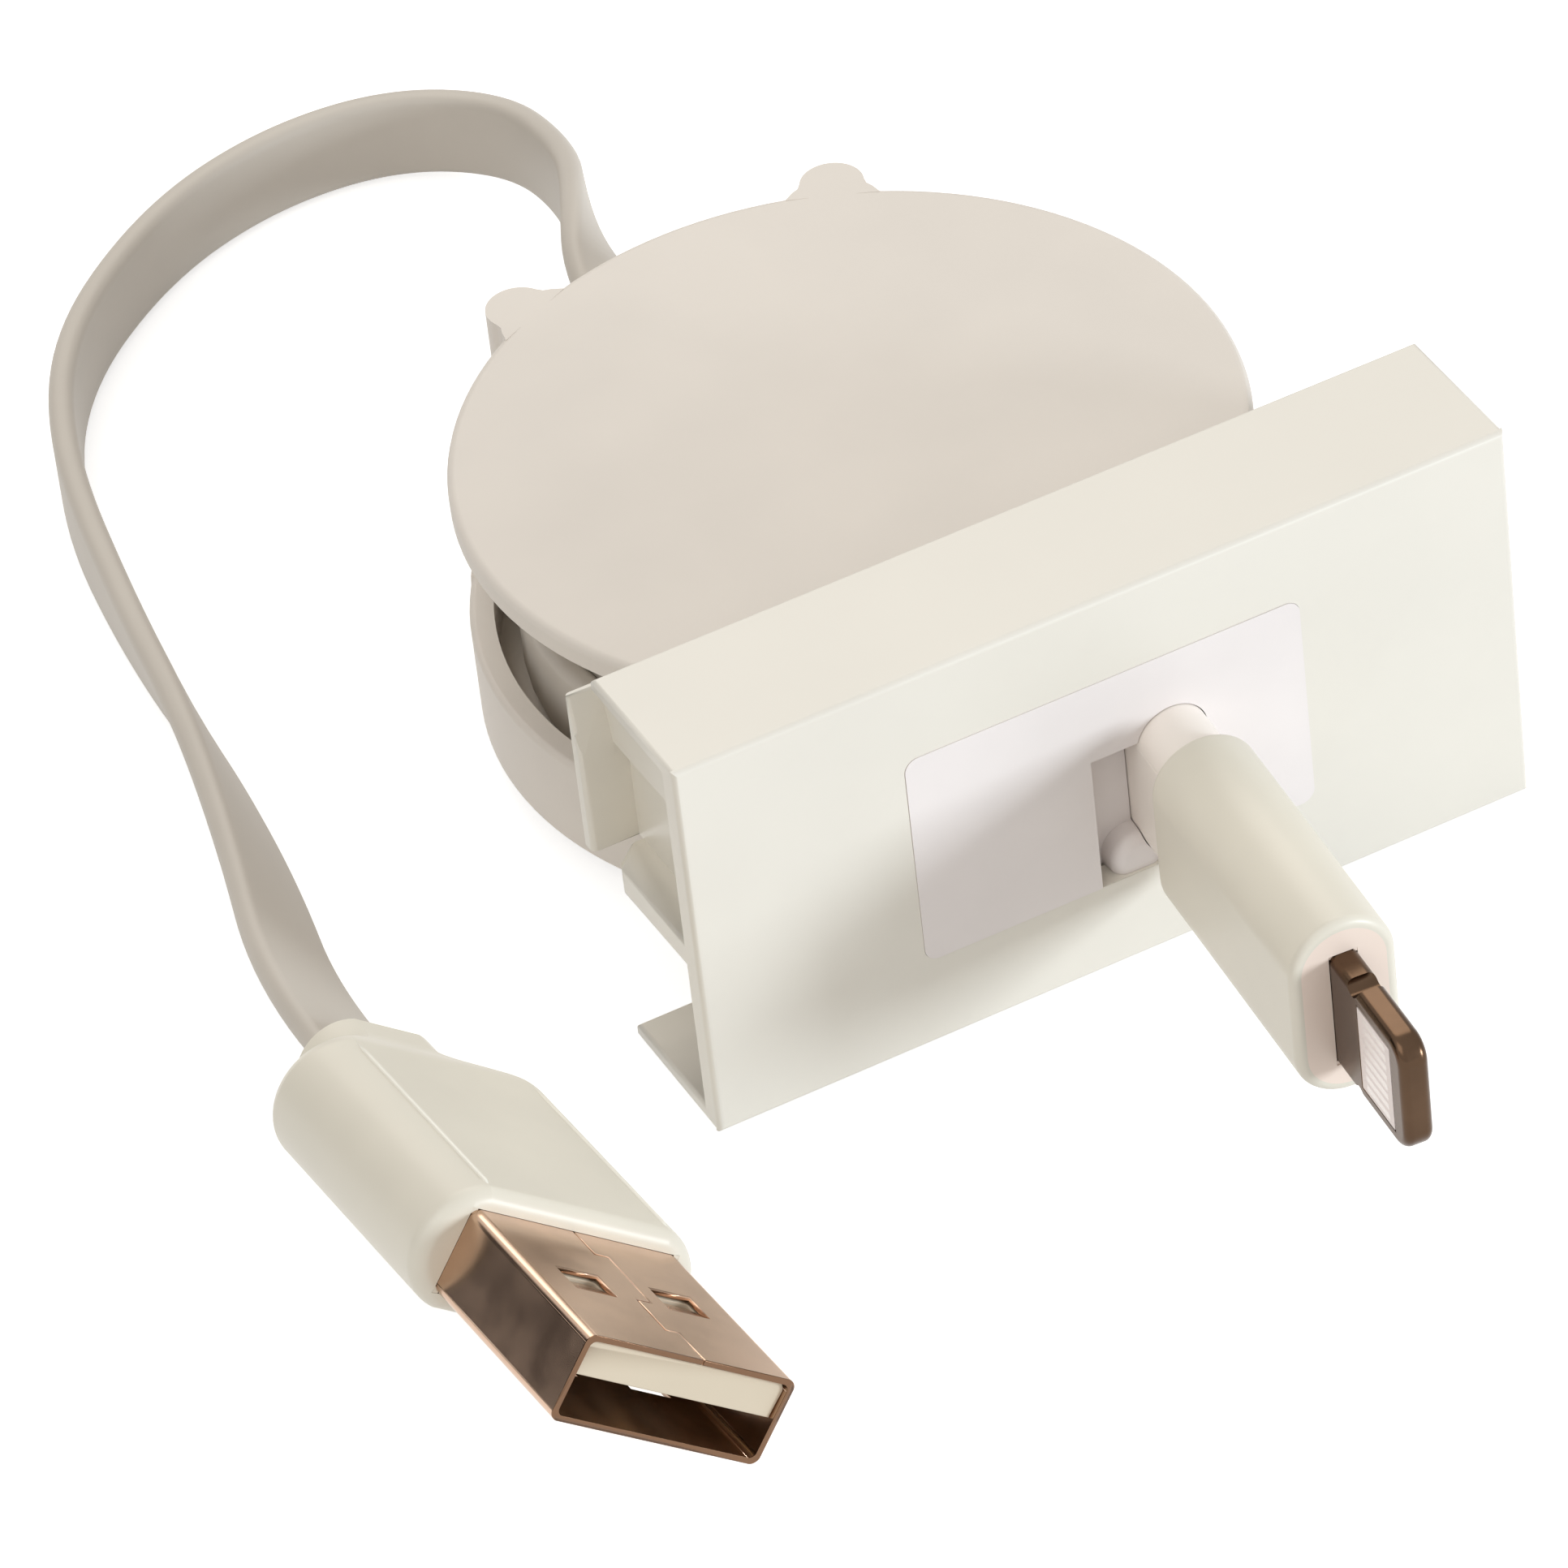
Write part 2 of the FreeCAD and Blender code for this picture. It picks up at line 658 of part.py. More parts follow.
def detentBall():
    ball = doc.addObject("Part::Sphere", "ball")
    bind(ball, Radius="ballRadius")
    keep(place(ball, "ballTrack", reelY, ballHigh), "detent_ball")


def cableRoll():
    roll = turned("rollBody", [
        ("drumRadius + fitGap", f"{webTop} + rollGap"),
        (rollRadius, f"{webTop} + rollGap"),
        (rollRadius, f"{webTop} + rollGap + ribbonWidth"),
        ("drumRadius + fitGap", f"{webTop} + rollGap + ribbonWidth"),
    ])
    keep(roll, "cable_roll")


def leadWinding():
    low = f"({ledgeTop} + fitGap)"
    inner = f"({windingRadius} - windingBuild + fitGap)"
    winding = turned("windingBody", [
        (inner, low),
        (f"{windingRadius} - windingEdge", low),
        (windingRadius, f"{low} + windingEdge"),
        (windingRadius, f"{low} + leadWidth - windingEdge"),
        (f"{windingRadius} - windingEdge", f"{low} + leadWidth"),
        (inner, f"{low} + leadWidth"),
    ])
    keep(winding, "lead_winding")


def plugPlace():
    return Placement(Vector(size("plugX"), -size("panelDepth") / 2, size("plugZ")),
                     Rotation(Vector(0, 0, 1), -size("plugYaw")))


def onPlug(item, label):
    # plug pieces are drawn pointing along -Y from the panel's front, then turned by the yaw
    item.Placement = plugPlace().multiply(item.Placement)
    return keep(item, label)


def pill(name, wide, high, near, far):
    # upright stadium section, drawn from near to far along Y
    flat = block(name + "Flat", (f"-({wide}) / 2", near, f"({wide}) / 2 - ({high}) / 2"),
                 (f"({wide}) / 2", far, f"({high}) / 2 - ({wide}) / 2"))
    top = lying(name + "Top", f"({wide}) / 2", near, far, "0", f"({high}) / 2 - ({wide}) / 2")
    bottom = lying(name + "Bottom", f"({wide}) / 2", near, far, "0", f"({wide}) / 2 - ({high}) / 2")
    return merged(name, flat, top, bottom)


def phonePlug():
    lead = block("leadRibbonBox",
                 ("-ribbonThick / 2", "sleeveInside - ribbonGrip", "ribbonLift - ribbonWidth / 2"),
                 ("ribbonThick / 2", f"{reelSetback} - {webRadius} + ribbonGap",
                  "ribbonLift + ribbonWidth / 2"))
    leadSet = doc.addObject("Part::Compound", "leadSet")
    leadSet.Links = [lead]
    onPlug(leadSet, "lead_ribbon")
    sleeveBar = pill("sleevePill", "sleeveWide", "sleeveHigh", "-sleeveOutside", "sleeveInside")
    # the ribbon runs into a pocket in the sleeve's inner end
    pocket = block("ribbonPocket",
                   ("-ribbonThick / 2 - seamGap", "sleeveInside - ribbonGrip - seamGap",
                    "ribbonLift - ribbonWidth / 2 - seamGap"),
                   ("ribbonThick / 2 + seamGap", "sleeveInside * 2", "ribbonLift + ribbonWidth / 2 + seamGap"))
    onPlug(carved("sleeveDone", sleeveBar, pocket), "plug_sleeve")
    collarWide = "(bootWide - 2 * collarBorder)"
    collarHigh = "(bootHigh - 2 * collarBorder)"
    bootSharp = pill("bootPill", "bootWide", "bootHigh", f"-{plugFront}", "-sleeveOutside")
    frontY = -size("sleeveOutside") - size("bootLength")
    boot = rounded("bootSoft", bootSharp, size("bootEdge"),
                   lambda edge: all(abs(v.Y - frontY) < 1e-6 or abs(v.Y + size("sleeveOutside")) < 1e-6
                                    for v in edge.Vertexes) and abs(edge.BoundBox.YLength) < 1e-6)
    recess = pill("recess", f"{collarWide} + 2 * seamGap", f"{collarHigh} + 2 * seamGap",
                  f"-{plugFront} - collarDeep", f"-{plugFront} + collarDeep")
    rootHole = block("rootHole",
                     ("-bladeThick / 2 - seamGap", f"-{plugFront} - seamGap", "-bladeHigh / 2 - seamGap"),
                     ("bladeThick / 2 + seamGap", f"-{plugFront} + bladeRoot + seamGap",
                      "bladeHigh / 2 + seamGap"))
    onPlug(carved("bootDone", boot, recess, rootHole), "plug_boot")
    collarBody = pill("collarPill", collarWide, collarHigh,
                      f"-{plugFront} + collarSunk", f"-{plugFront} + collarDeep")
    collarHole = block("collarHole",
                       ("-bladeThick / 2 - seamGap", f"-{plugFront} - 1", "-bladeHigh / 2 - seamGap"),
                       ("bladeThick / 2 + seamGap", f"-{plugFront} + bladeRoot", "bladeHigh / 2 + seamGap"))
    onPlug(carved("collarDone", collarBody, collarHole), "plug_collar")
    # metal blade, rounded at the tip, with a detent on each narrow edge and a window for the plate
    tip = f"(-{plugFront} - bladeLength)"
    bladeSharp = block("bladeSharp", ("-bladeThick / 2", tip, "-bladeHigh / 2"),
                       ("bladeThick / 2", f"-{plugFront} + bladeRoot", "bladeHigh / 2"))
    tipY = frontY - size("bladeLength")
    bladeRound = rounded("bladeRound", bladeSharp, size("bladeCorner"),
                         lambda edge: runsAlong(edge, 0) and abs(edge.Vertexes[0].Y - tipY) < 1e-6)
    rootY = frontY + size("bladeRoot")
    bladeSoft = rounded("bladeSoft", bladeRound, size("bladeEdge"),
                        lambda edge: abs(edge.BoundBox.XLength) < 1e-6 and edge.Vertexes[0].Y < rootY
                        and not all(abs(v.Y - rootY) < 1e-6 for v in edge.Vertexes))
    detents = []
    for side in (-1, 1):
        detent = doc.addObject("Part::Cylinder", f"detent{side + 1}")
        detent.Placement.Rotation = Rotation(Vector(0, 1, 0), 90)
        bind(detent, Radius="detentRadius", Height="2 * bladeThick")
        detents.append(place(detent, "-bladeThick", f"{tip} + detentBack", f"{side} * bladeHigh / 2"))
    plateNear = f"({tip} + plateTip)"
    plateHole = block("plateHole", ("-bladeThick", f"{plateNear} - seamGap", "-plateHigh / 2 - seamGap"),
                      ("bladeThick", f"{plateNear} + plateLong + seamGap", "plateHigh / 2 + seamGap"))
    onPlug(carved("bladeDone", bladeSoft, plateHole, *detents), "plug_blade")
    plate = block("plateBox", ("-bladeThick / 2", plateNear, "-plateHigh / 2"),
                  ("bladeThick / 2", f"{plateNear} + plateLong", "plateHigh / 2"))
    pockets = []
    pads = []
    count = int(size("padCount"))
    padNear = f"({plateNear} + plateLong / 2 - padLong / 2)"
    for n in range(count):
        height = f"({n} - ({count} - 1) / 2) * padPitch"
        for side in (-1, 1):
            face = f"{side} * bladeThick / 2"
            lowX, highX = (f"{face} - padDeep", face) if side > 0 else (face, f"{face} + padDeep")
            low = (lowX, padNear, f"{height} - padHigh / 2")
            high = (highX, f"{padNear} + padLong", f"{height} + padHigh / 2")
            pads.append(block(f"pad{n}x{side + 1}", low, high))
            pockets.append(block(f"pocket{n}x{side + 1}", low, high))
    onPlug(carved("plateDone", plate, *pockets), "contact_plate")
    padSet = doc.addObject("Part::Compound", "padSet")
    padSet.Links = pads
    onPlug(padSet, "plug_contacts")


def usbPlace():
    # the plug is rolled about its own axis, rests on the rear of its boot and points a little up
    roll = math.radians(size("usbRoll"))
    pitch = math.radians(size("usbPitch"))
    flat = size("usbBootWide") / 2 - size("usbBootBulge")
    arcRadius = (size("usbBootBulge") ** 2 + (size("usbBootHigh") / 2) ** 2) / (2 * size("usbBootBulge"))
    arcCentre = size("usbBootWide") / 2 - arcRadius
    rest = max(arcCentre * math.sin(roll) + arcRadius,
               flat * math.sin(roll) + size("usbBootHigh") / 2 * math.cos(roll))
    height = rest * math.cos(pitch) + size("usbBootLength") * math.sin(pitch) + size("seamGap")
    turn = Rotation(Vector(0, 0, 1), size("usbYaw"))
    turn = turn.multiply(Rotation(Vector(1, 0, 0), -size("usbPitch")))
    turn = turn.multiply(Rotation(Vector(0, 1, 0), size("usbRoll")))
    return Placement(Vector(size("usbX"), size("usbY"), height), turn)


def onUsb(item, label):
    item.Placement = usbPlace().multiply(item.Placement)
    return keep(item, label)


def usbSection(y, wide, high, bulge):
    # flat top and bottom, bowed sides
    flat = wide / 2 - bulge
    rightLow = Vector(flat, y, -high / 2)
    rightHigh = Vector(flat, y, high / 2)
    leftHigh = Vector(-flat, y, high / 2)
    leftLow = Vector(-flat, y, -high / 2)
    edges = [
        Part.makeLine(leftLow, rightLow),
        Part.Arc(rightLow, Vector(wide / 2, y, 0), rightHigh).toShape(),
        Part.makeLine(rightHigh, leftHigh),
        Part.Arc(leftHigh, Vector(-wide / 2, y, 0), leftLow).toShape(),
    ]
    return Part.Wire(edges)


def usbPlug():
    wide, high, bulge = size("usbBootWide"), size("usbBootHigh"), size("usbBootBulge")
    neckWide, neckHigh = size("neckWide"), size("neckHigh")
    straight = size("usbBootLength")
    shoulder = size("shoulderLength")
    grip = Part.Face(usbSection(0, wide, high, bulge)).extrude(Vector(0, straight, 0))
    frontEdges = [edge for edge in grip.Edges if edge.BoundBox.YMax < 1e-6]
    grip = grip.makeFillet(size("usbBootEdge"), frontEdges)
    # the shoulder narrows in an S from the grip to the neck
    steps = 6
    sections = []
    for n in range(steps + 1):
        along = n / steps
        ease = along * along * (3 - 2 * along)
        shrink = lambda big, small: big + (small - big) * ease
        sections.append(usbSection(straight + shoulder * along, shrink(wide, neckWide), shrink(high, neckHigh),
                                   shrink(bulge, neckHigh * bulge / high)))
    cone = Part.makeLoft(sections, True, False)
    neck = Part.Face(usbSection(straight + shoulder, neckWide, neckHigh, neckHigh * bulge / high))
    neck = neck.extrude(Vector(0, size("neckLength"), 0))
    boot = doc.addObject("Part::Feature", "usbBootBody")
    boot.Shape = grip.fuse([cone, neck]).removeSplitter()
    shellHole = block("usbShellHole",
                      ("-shellWide / 2 - seamGap", "-seamGap - shellRoot", "-shellHigh / 2 - seamGap"),
                      ("shellWide / 2 + seamGap", "shellRoot + seamGap", "shellHigh / 2 + seamGap"))
    onUsb(carved("usbBootDone", boot, shellHole), "usb_boot")
    # folded shell with two latch windows in the top and two in the bottom
    shellSharp = block("usbShellSharp", ("-shellWide / 2", "-shellLength", "-shellHigh / 2"),
                       ("shellWide / 2", "shellRoot", "shellHigh / 2"))
    shellSoft = rounded("usbShellSoft", shellSharp, size("shellCorner"), lambda edge: runsAlong(edge, 1))
    inside = block("usbInside",
                   ("-shellWide / 2 + shellWall", "-shellLength - shellRoot", "-shellHigh / 2 + shellWall"),
                   ("shellWide / 2 - shellWall", "shellRoot * 2", "shellHigh / 2 - shellWall"))
    insideSoft = rounded("usbInsideSoft", inside, size("shellCorner") - size("shellWall") / 2,
                         lambda edge: runsAlong(edge, 1))
    cuts = []
    tabs = []
    pockets = []
    latchFront = "(latchFromTip - shellLength - latchLong / 2)"
    shellTop = "(shellHigh / 2)"
    for side in (-1, 1):
        cuts.append(block(f"latch{side + 1}",
                          (f"{side} * latchSpread - latchWide / 2", latchFront, "-shellHigh"),
                          (f"{side} * latchSpread + latchWide / 2", f"{latchFront} + latchLong", "shellHigh")))
        # a tab is bent in from the front edge of each top window
        tab = prism(f"latchTab{side + 1}", "YZ_Plane", [
            (f"{latchFront} - seamGap", f"{shellTop} - shellWall"),
            (f"{latchFront} + tabLong", f"{shellTop} - shellWall - tabDrop"),
            (f"{latchFront} + tabLong", f"{shellTop} - tabDrop"),
            (f"{latchFront} - seamGap", shellTop),
        ], "tabWide", midplane=True)
        tabs.append(place(tab, x=f"{side} * latchSpread"))
        pockets.append(block(f"tabPocket{side + 1}",
                             (f"{side} * latchSpread - latchWide / 2", f"{latchFront} - seamGap",
                              f"{shellTop} - shellWall - tabPocket"),
                             (f"{side} * latchSpread + latchWide / 2", f"{latchFront} + latchLong", "shellHigh")))
    # the folded seam steps from side to side along the middle of the top
    seamLow = f"({shellTop} - 2 * shellWall)"
    seamRuns = (
        ("seamLeft", "-seamFar", "seamGap"),
        ("seamRight", "-seamMiddle - seamFar", "-seamFar"),
        ("seamLeft", "-seamNear", "-seamMiddle - seamFar"),
        ("seamRight", "-shellLength - seamGap", "-seamNear"),
    )
    for n, (x, near, far) in enumerate(seamRuns):
        cuts.append(block(f"seamRun{n}", (x, near, seamLow), (f"{x} + seamWide", far, "shellHigh")))
        if n > 0:
            cuts.append(block(f"seamStep{n}", ("seamLeft", far, seamLow),
                              ("seamRight + seamWide", f"{far} + seamWide", "shellHigh")))
    shellOpen = carved("usbShellOpen", shellSoft, insideSoft, *cuts)
    onUsb(merged("usbShellDone", shellOpen, *tabs), "usb_shell")
    # tongue against the shell's top, with four contacts let into its underside
    tongueTop = "(shellHigh / 2 - shellWall - tongueGap)"
    tongueLow = f"({tongueTop} - tongueHigh)"
    tongueHalf = "(shellWide / 2 - shellWall - tongueGap)"
    tongueSharp = block("tongueSharp", (f"-{tongueHalf}", "-shellLength + tongueSunk", tongueLow),
                        (tongueHalf, "shellRoot", tongueTop))
    topZ = size("shellHigh") / 2 - size("shellWall") - size("tongueGap")
    tongue = rounded("tongueSoft", tongueSharp, size("shellCorner"),
                     lambda edge: runsAlong(edge, 1) and abs(edge.Vertexes[0].Z - topZ) < 1e-6)
    contacts = []
    sinks = []
    for n in (-1.5, -0.5, 0.5, 1.5):
        low = (f"{n} * contactSpread - contactWide / 2", "-shellLength + 4 * tongueSunk", tongueLow)
        high = (f"{n} * contactSpread + contactWide / 2", "-shellLength + 4 * tongueSunk + contactLong",
                f"{tongueLow} + contactDeep")
        contacts.append(block(f"usbContact{int(2 * n + 3)}", low, high))
        sinks.append(block(f"usbSink{int(2 * n + 3)}", low, high))
    onUsb(carved("tongueDone", tongue, *sinks, *pockets), "usb_tongue")
    contactSet = doc.addObject("Part::Compound", "usbContactSet")
    contactSet.Links = contacts
    onUsb(contactSet, "usb_contacts")


def leadRoute():
    # the fixed lead's corner points, chosen by hand: first from the exit, then from the plug's neck
    start = Vector(0, number(f"{reelY} + reelRadius + seamGap"), number(leadHigh))
    # the upright end of the lead stays clear of the pitched neck
    clear = size("leadWidth") / 2 * math.sin(math.radians(size("usbPitch"))) + size("seamGap")
    bootEnd = size("usbBootLength") + size("shoulderLength") + size("neckLength")
    neck = usbPlace().multVec(Vector(0, bootEnd + clear, 0))
    backward = usbPlace().Rotation.multVec(Vector(0, 1, 0))
    fromExit = [
        (0, 0, 0),
        (0, size("leadStraight"), 0),
        (1.9, 14.5, -0.9),
        (4.0, 21.5, -2.6),
        (3.6, 27.6, -3.5),
        (-1.2, 32.0, -3.85),
        (-8.5, 32.6, -3.85),
    ]
    fromNeck = [
        (20.6, 67.5, -2.75),
        (12.4, 60.8, -2.75),
        (8.1, 51.5, -2.75),
        (6.0, 39.4, -2.75),
        (5.0, 28.9, -2.55),
        (3.0, 18.4, -1.95),
    ]
    route = [start + Vector(*step) for step in fromExit]
    route += [neck + Vector(*step) for step in fromNeck]
    return route + [neck + backward * size("neckRun"), neck]


def leadCord():
    route = leadRoute()
    bendShare = 0.45
    edges = []
    last = route[0]
    for before, corner, after in zip(route, route[1:], route[2:]):
        arrive = (corner - before).normalize()
        leave = (after - corner).normalize()
        turn = arrive.getAngle(leave)
        reach = bendShare * min((corner - before).Length, (after - corner).Length)
        radius = reach / math.tan(turn / 2)
        begin = corner - arrive * reach
        end = corner + leave * reach
        inward = (leave - arrive).normalize()
        middle = corner + inward * (radius / math.cos(turn / 2) - radius)
        edges.append(Part.makeLine(last, begin))
        edges.append(Part.Arc(begin, middle, end).toShape())
        last = end
        print(f"lead bend radius {radius:.1f} mm, turn {math.degrees(turn):.0f} degrees")
    edges.append(Part.makeLine(last, route[-1]))
    path = Part.Wire(edges)
    halfThick = size("leadThick") / 2
    halfWidth = size("leadWidth") / 2
    corners = [route[0] + Vector(x, 0, z) for x, z in
               ((-halfThick, -halfWidth), (halfThick, -halfWidth), (halfThick, halfWidth), (-halfThick, halfWidth))]
    section = Part.makePolygon(corners + corners[:1])
    sweep = Part.BRepOffsetAPI.MakePipeShell(path)
    sweep.setBiNormalMode(Vector(0, 0, 1))
    sweep.add(section, False, False)
    sweep.build()
    sweep.makeSolid()
    solid = sweep.shape()
    expected = size("leadThick") * size("leadWidth") * path.Length
    print(f"lead length {path.Length:.1f} mm, volume {solid.Volume:.1f} of {expected:.1f} mm3")
    # a short flat tail leads it in through the wall to the winding
    tailStart = Vector(-halfWidth, number(f"{reelY} + {windingRadius} + seamGap"), route[0].z - halfThick)
    tailLength = route[0].y - tailStart.y + size("leadTail")
    tail = Part.makeBox(size("leadWidth"), tailLength, size("leadThick"), tailStart)
    solidNode("lead_cord", solid.fuse(tail).removeSplitter())


facePanel()
frontInsert()
reelBase()
reelCover()
caseScrews()
spool()
powerSpring()
detentBall()
cableRoll()
leadWinding()
phonePlug()
usbPlug()
leadCord()
doc.recompute()

for item in doc.Objects:
    if "Invalid" in item.State or "Error" in item.State:
        raise RuntimeError(f"{item.Label} failed to build: {item.State}")
for item in nodes:
    if item.Shape.isNull() or not item.Shape.isValid() or item.Shape.Volume <= 0:
        raise RuntimeError(f"{item.Label} has no valid solid")

os.makedirs("parts", exist_ok=True)
for item in nodes:
    item.Shape.exportStep(f"parts/{item.Label}.step")
    print(f"{item.Label}: {len(item.Shape.Solids)} solid(s), {item.Shape.Volume:.1f} mm3")
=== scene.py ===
import bmesh
import bpy
import math
from mathutils import Matrix, Vector


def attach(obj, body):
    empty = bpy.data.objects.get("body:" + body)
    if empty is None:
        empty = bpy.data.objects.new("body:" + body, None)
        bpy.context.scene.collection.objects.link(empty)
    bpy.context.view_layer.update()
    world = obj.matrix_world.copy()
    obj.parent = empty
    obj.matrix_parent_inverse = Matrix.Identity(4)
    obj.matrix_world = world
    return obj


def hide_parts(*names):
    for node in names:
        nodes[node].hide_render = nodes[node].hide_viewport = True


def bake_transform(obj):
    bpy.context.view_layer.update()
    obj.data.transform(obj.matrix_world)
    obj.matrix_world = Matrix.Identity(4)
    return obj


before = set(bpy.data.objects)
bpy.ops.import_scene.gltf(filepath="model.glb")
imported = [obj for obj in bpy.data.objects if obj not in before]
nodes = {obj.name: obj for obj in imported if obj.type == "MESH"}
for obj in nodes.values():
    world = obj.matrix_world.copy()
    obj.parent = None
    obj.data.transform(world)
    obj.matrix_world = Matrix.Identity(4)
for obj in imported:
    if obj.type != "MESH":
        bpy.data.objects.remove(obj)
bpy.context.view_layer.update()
mm = 0.001               # the sizes below are in millimetres, the angles in degrees
reelAxis = (0, 21.65)    # where the reel's upright axis stands
print("frame loaded:", len(nodes), "nodes")


def facing(place, aim, front):
    # stands at the place, with its front axis towards the aim
    start = Vector(place) * mm
    turn = (Vector(aim) * mm - start).to_track_quat(front, "Y")
    return Matrix.Translation(start) @ turn.to_matrix().to_4x4()


# camera at the photograph's viewing angle
view = {
    "place": (-179.5, -378.67, 361.19),
    "aim": (-11.6, 8.12, 8.06),
    "roll": -7.0,
    "lens": 260.95,
    "sensor": 36,
    "clipStart": 10,
}


def makeCamera():
    lens = bpy.data.cameras.new("photoCamera")
    lens.sensor_width = view["sensor"]
    lens.lens = view["lens"]
    lens.clip_start = view["clipStart"] * mm
    camera = bpy.data.objects.new("photoCamera", lens)
    bpy.context.scene.collection.objects.link(camera)
    roll = Matrix.Rotation(math.radians(view["roll"]), 4, "Z")
    camera.matrix_world = facing(view["place"], view["aim"], "-Z") @ roll
    bpy.context.scene.camera = camera


class Wire:
    # a node's socket that takes part in plain maths
    def __init__(self, tree, socket):
        self.tree = tree
        self.socket = socket

    def put(self, slot, value):
        if isinstance(value, Wire):
            self.tree.links.new(value.socket, slot)
        elif isinstance(value, tuple) and len(value) == 3 and slot.type == "RGBA":
            slot.default_value = (*value, 1)
        else:
            slot.default_value = value

    def node(self, kind, settings=None, output=0, **values):
        step = self.tree.nodes.new(kind)
        for name, value in (settings or {}).items():
            if name == "stops":
                while len(step.color_ramp.elements) < len(value):
                    step.color_ramp.elements.new(0.5)
                for stop, (spot, colour) in zip(step.color_ramp.elements, value):
                    stop.position = spot
                    stop.color = (*colour, 1)
            else:
                setattr(step, name, value)
        for name, value in values.items():
            numbered = name[1:].isdigit()      # i6 is input 6, Fill_Caps the input Fill Caps
            slot = step.inputs[int(name[1:]) if numbered else name.replace("_", " ")]
            self.put(slot, value)
        return Wire(self.tree, step.outputs[output])

    def math(self, operation, first, second=0.0):
        return self.node("ShaderNodeMath", {"operation": operation}, i0=first, i1=second)

    def __add__(self, other):
        return self.math("ADD", self, other)

    def __sub__(self, other):
        return self.math("SUBTRACT", self, other)

    def __rsub__(self, other):
        return self.math("SUBTRACT", other, self)

    def __mul__(self, other):
        return self.math("MULTIPLY", self, other)

    def above(self, level):
        return self.math("GREATER_THAN", self, level)

    __radd__ = __add__
    __rmul__ = __mul__


def linear(red, green, blue):
    # screen colour, 0 to 255, as the shader's linear colour
    def one(level):
        share = level / 255
        return share / 12.92 if share <= 0.04045 else ((share + 0.055) / 1.055) ** 2.4
    return one(red), one(green), one(blue)


def startFinish(name):
    finish = bpy.data.materials.new(name)
    finish.use_nodes = True
    return finish, finish.node_tree.nodes["Principled BSDF"]


def objectSpot(finish):
    tree = finish.node_tree
    return Wire(tree, tree.nodes.new("ShaderNodeTexCoord").outputs["Object"])


# moulded plastic: slow tone drift, a faint gloss change and, where asked, a fine mould texture
plasticLook = {
    "driftScale": 90.0, "driftDetail": 3.0,
    "darkStop": 0.35, "lightStop": 0.65,
    "glossRange": 0.08,
    "grainSize": 0.25, "grainDetail": 2.0, "grainDeep": 0.02,
}


def plastic(name, colour, roughness, mottle=0.03, grain=0.0):
    look = plasticLook
    finish, shader = startFinish(name)
    spot = objectSpot(finish)
    drift = spot.node("ShaderNodeTexNoise", Vector=spot, Scale=look["driftScale"], Detail=look["driftDetail"])
    dark = tuple(part * (1 - mottle) for part in colour)
    light = tuple(min(1.0, part * (1 + mottle)) for part in colour)
    stops = [(look["darkStop"], dark), (look["lightStop"], light)]
    tone = spot.node("ShaderNodeValToRGB", {"stops": stops}, Fac=drift)
    spot.put(shader.inputs["Base Color"], tone)
    spot.put(shader.inputs["Roughness"], drift * look["glossRange"] + (roughness - look["glossRange"] / 2))
    if grain:
        fine = spot.node("ShaderNodeTexNoise", Vector=spot, Scale=1 / (look["grainSize"] * mm),
                         Detail=look["grainDetail"])
        bump = spot.node("ShaderNodeBump", Strength=grain, Distance=look["grainDeep"] * mm, Height=fine)
        spot.put(shader.inputs["Normal"], bump)
    return finish


# the usb plug's own frame: where the boot's front face is and how the plug lies
usbPlug = {
    "place": (-36.7, -16.55, 7.752),
    "roll": 38.0, "pitch": -6.4, "yaw": 0.4,
    "shellLength": 12.0,
    "mouthShadeBand": 0.05,     # the band at the shell's mouth whose colour is painted dark: a painted dark reflection on its edge
}


def usbFrame():
    turn = Matrix.Rotation(math.radians(usbPlug["yaw"]), 4, "Z")
    turn = turn @ Matrix.Rotation(math.radians(usbPlug["pitch"]), 4, "X")
    turn = turn @ Matrix.Rotation(math.radians(usbPlug["roll"]), 4, "Y")
    return Matrix.Translation(Vector(usbPlug["place"])) @ turn


# metal: fine darker stains with a gloss change, and on the usb shell a band at the mouth painted dark, a
# painted dark reflection on its edge
metalLook = {
    "stainScale": 420.0, "stainDetail": 4.0,
    "darkStop": 0.3, "cleanStop": 0.6,
    "glossRange": 0.12,
}


def metal(name, colour, roughness, streak, mouthShadeColour=None):
    look = metalLook
    finish, shader = startFinish(name)
    spot = objectSpot(finish)
    shader.inputs["Metallic"].default_value = 1.0
    stain = spot.node("ShaderNodeTexNoise", Vector=spot, Scale=look["stainScale"], Detail=look["stainDetail"])
    dark = tuple(part * (1 - streak) for part in colour)
    stops = [(look["darkStop"], dark), (look["cleanStop"], colour)]
    tone = spot.node("ShaderNodeValToRGB", {"stops": stops}, Fac=stain)
    # the shell's mouth edge is painted dark brown: a painted dark reflection
    if mouthShadeColour:
        lies = usbFrame()
        inward = lies.to_3x3() @ Vector((0, 1, 0))
        mouth = (lies @ Vector((0, usbPlug["mouthShadeBand"] - usbPlug["shellLength"], 0))).dot(inward) * mm
        depth = spot.node("ShaderNodeVectorMath", {"operation": "DOT_PRODUCT"}, 1, i0=spot, i1=tuple(inward))
        paintedMouthShade = (mouth - depth).above(0.0)
        tone = spot.node("ShaderNodeMix", {"data_type": "RGBA"}, 2, Factor=paintedMouthShade, i6=tone, i7=mouthShadeColour)
    spot.put(shader.inputs["Base Color"], tone)
    spot.put(shader.inputs["Roughness"], stain * look["glossRange"] + (roughness - look["glossRange"] / 2))
    return finish


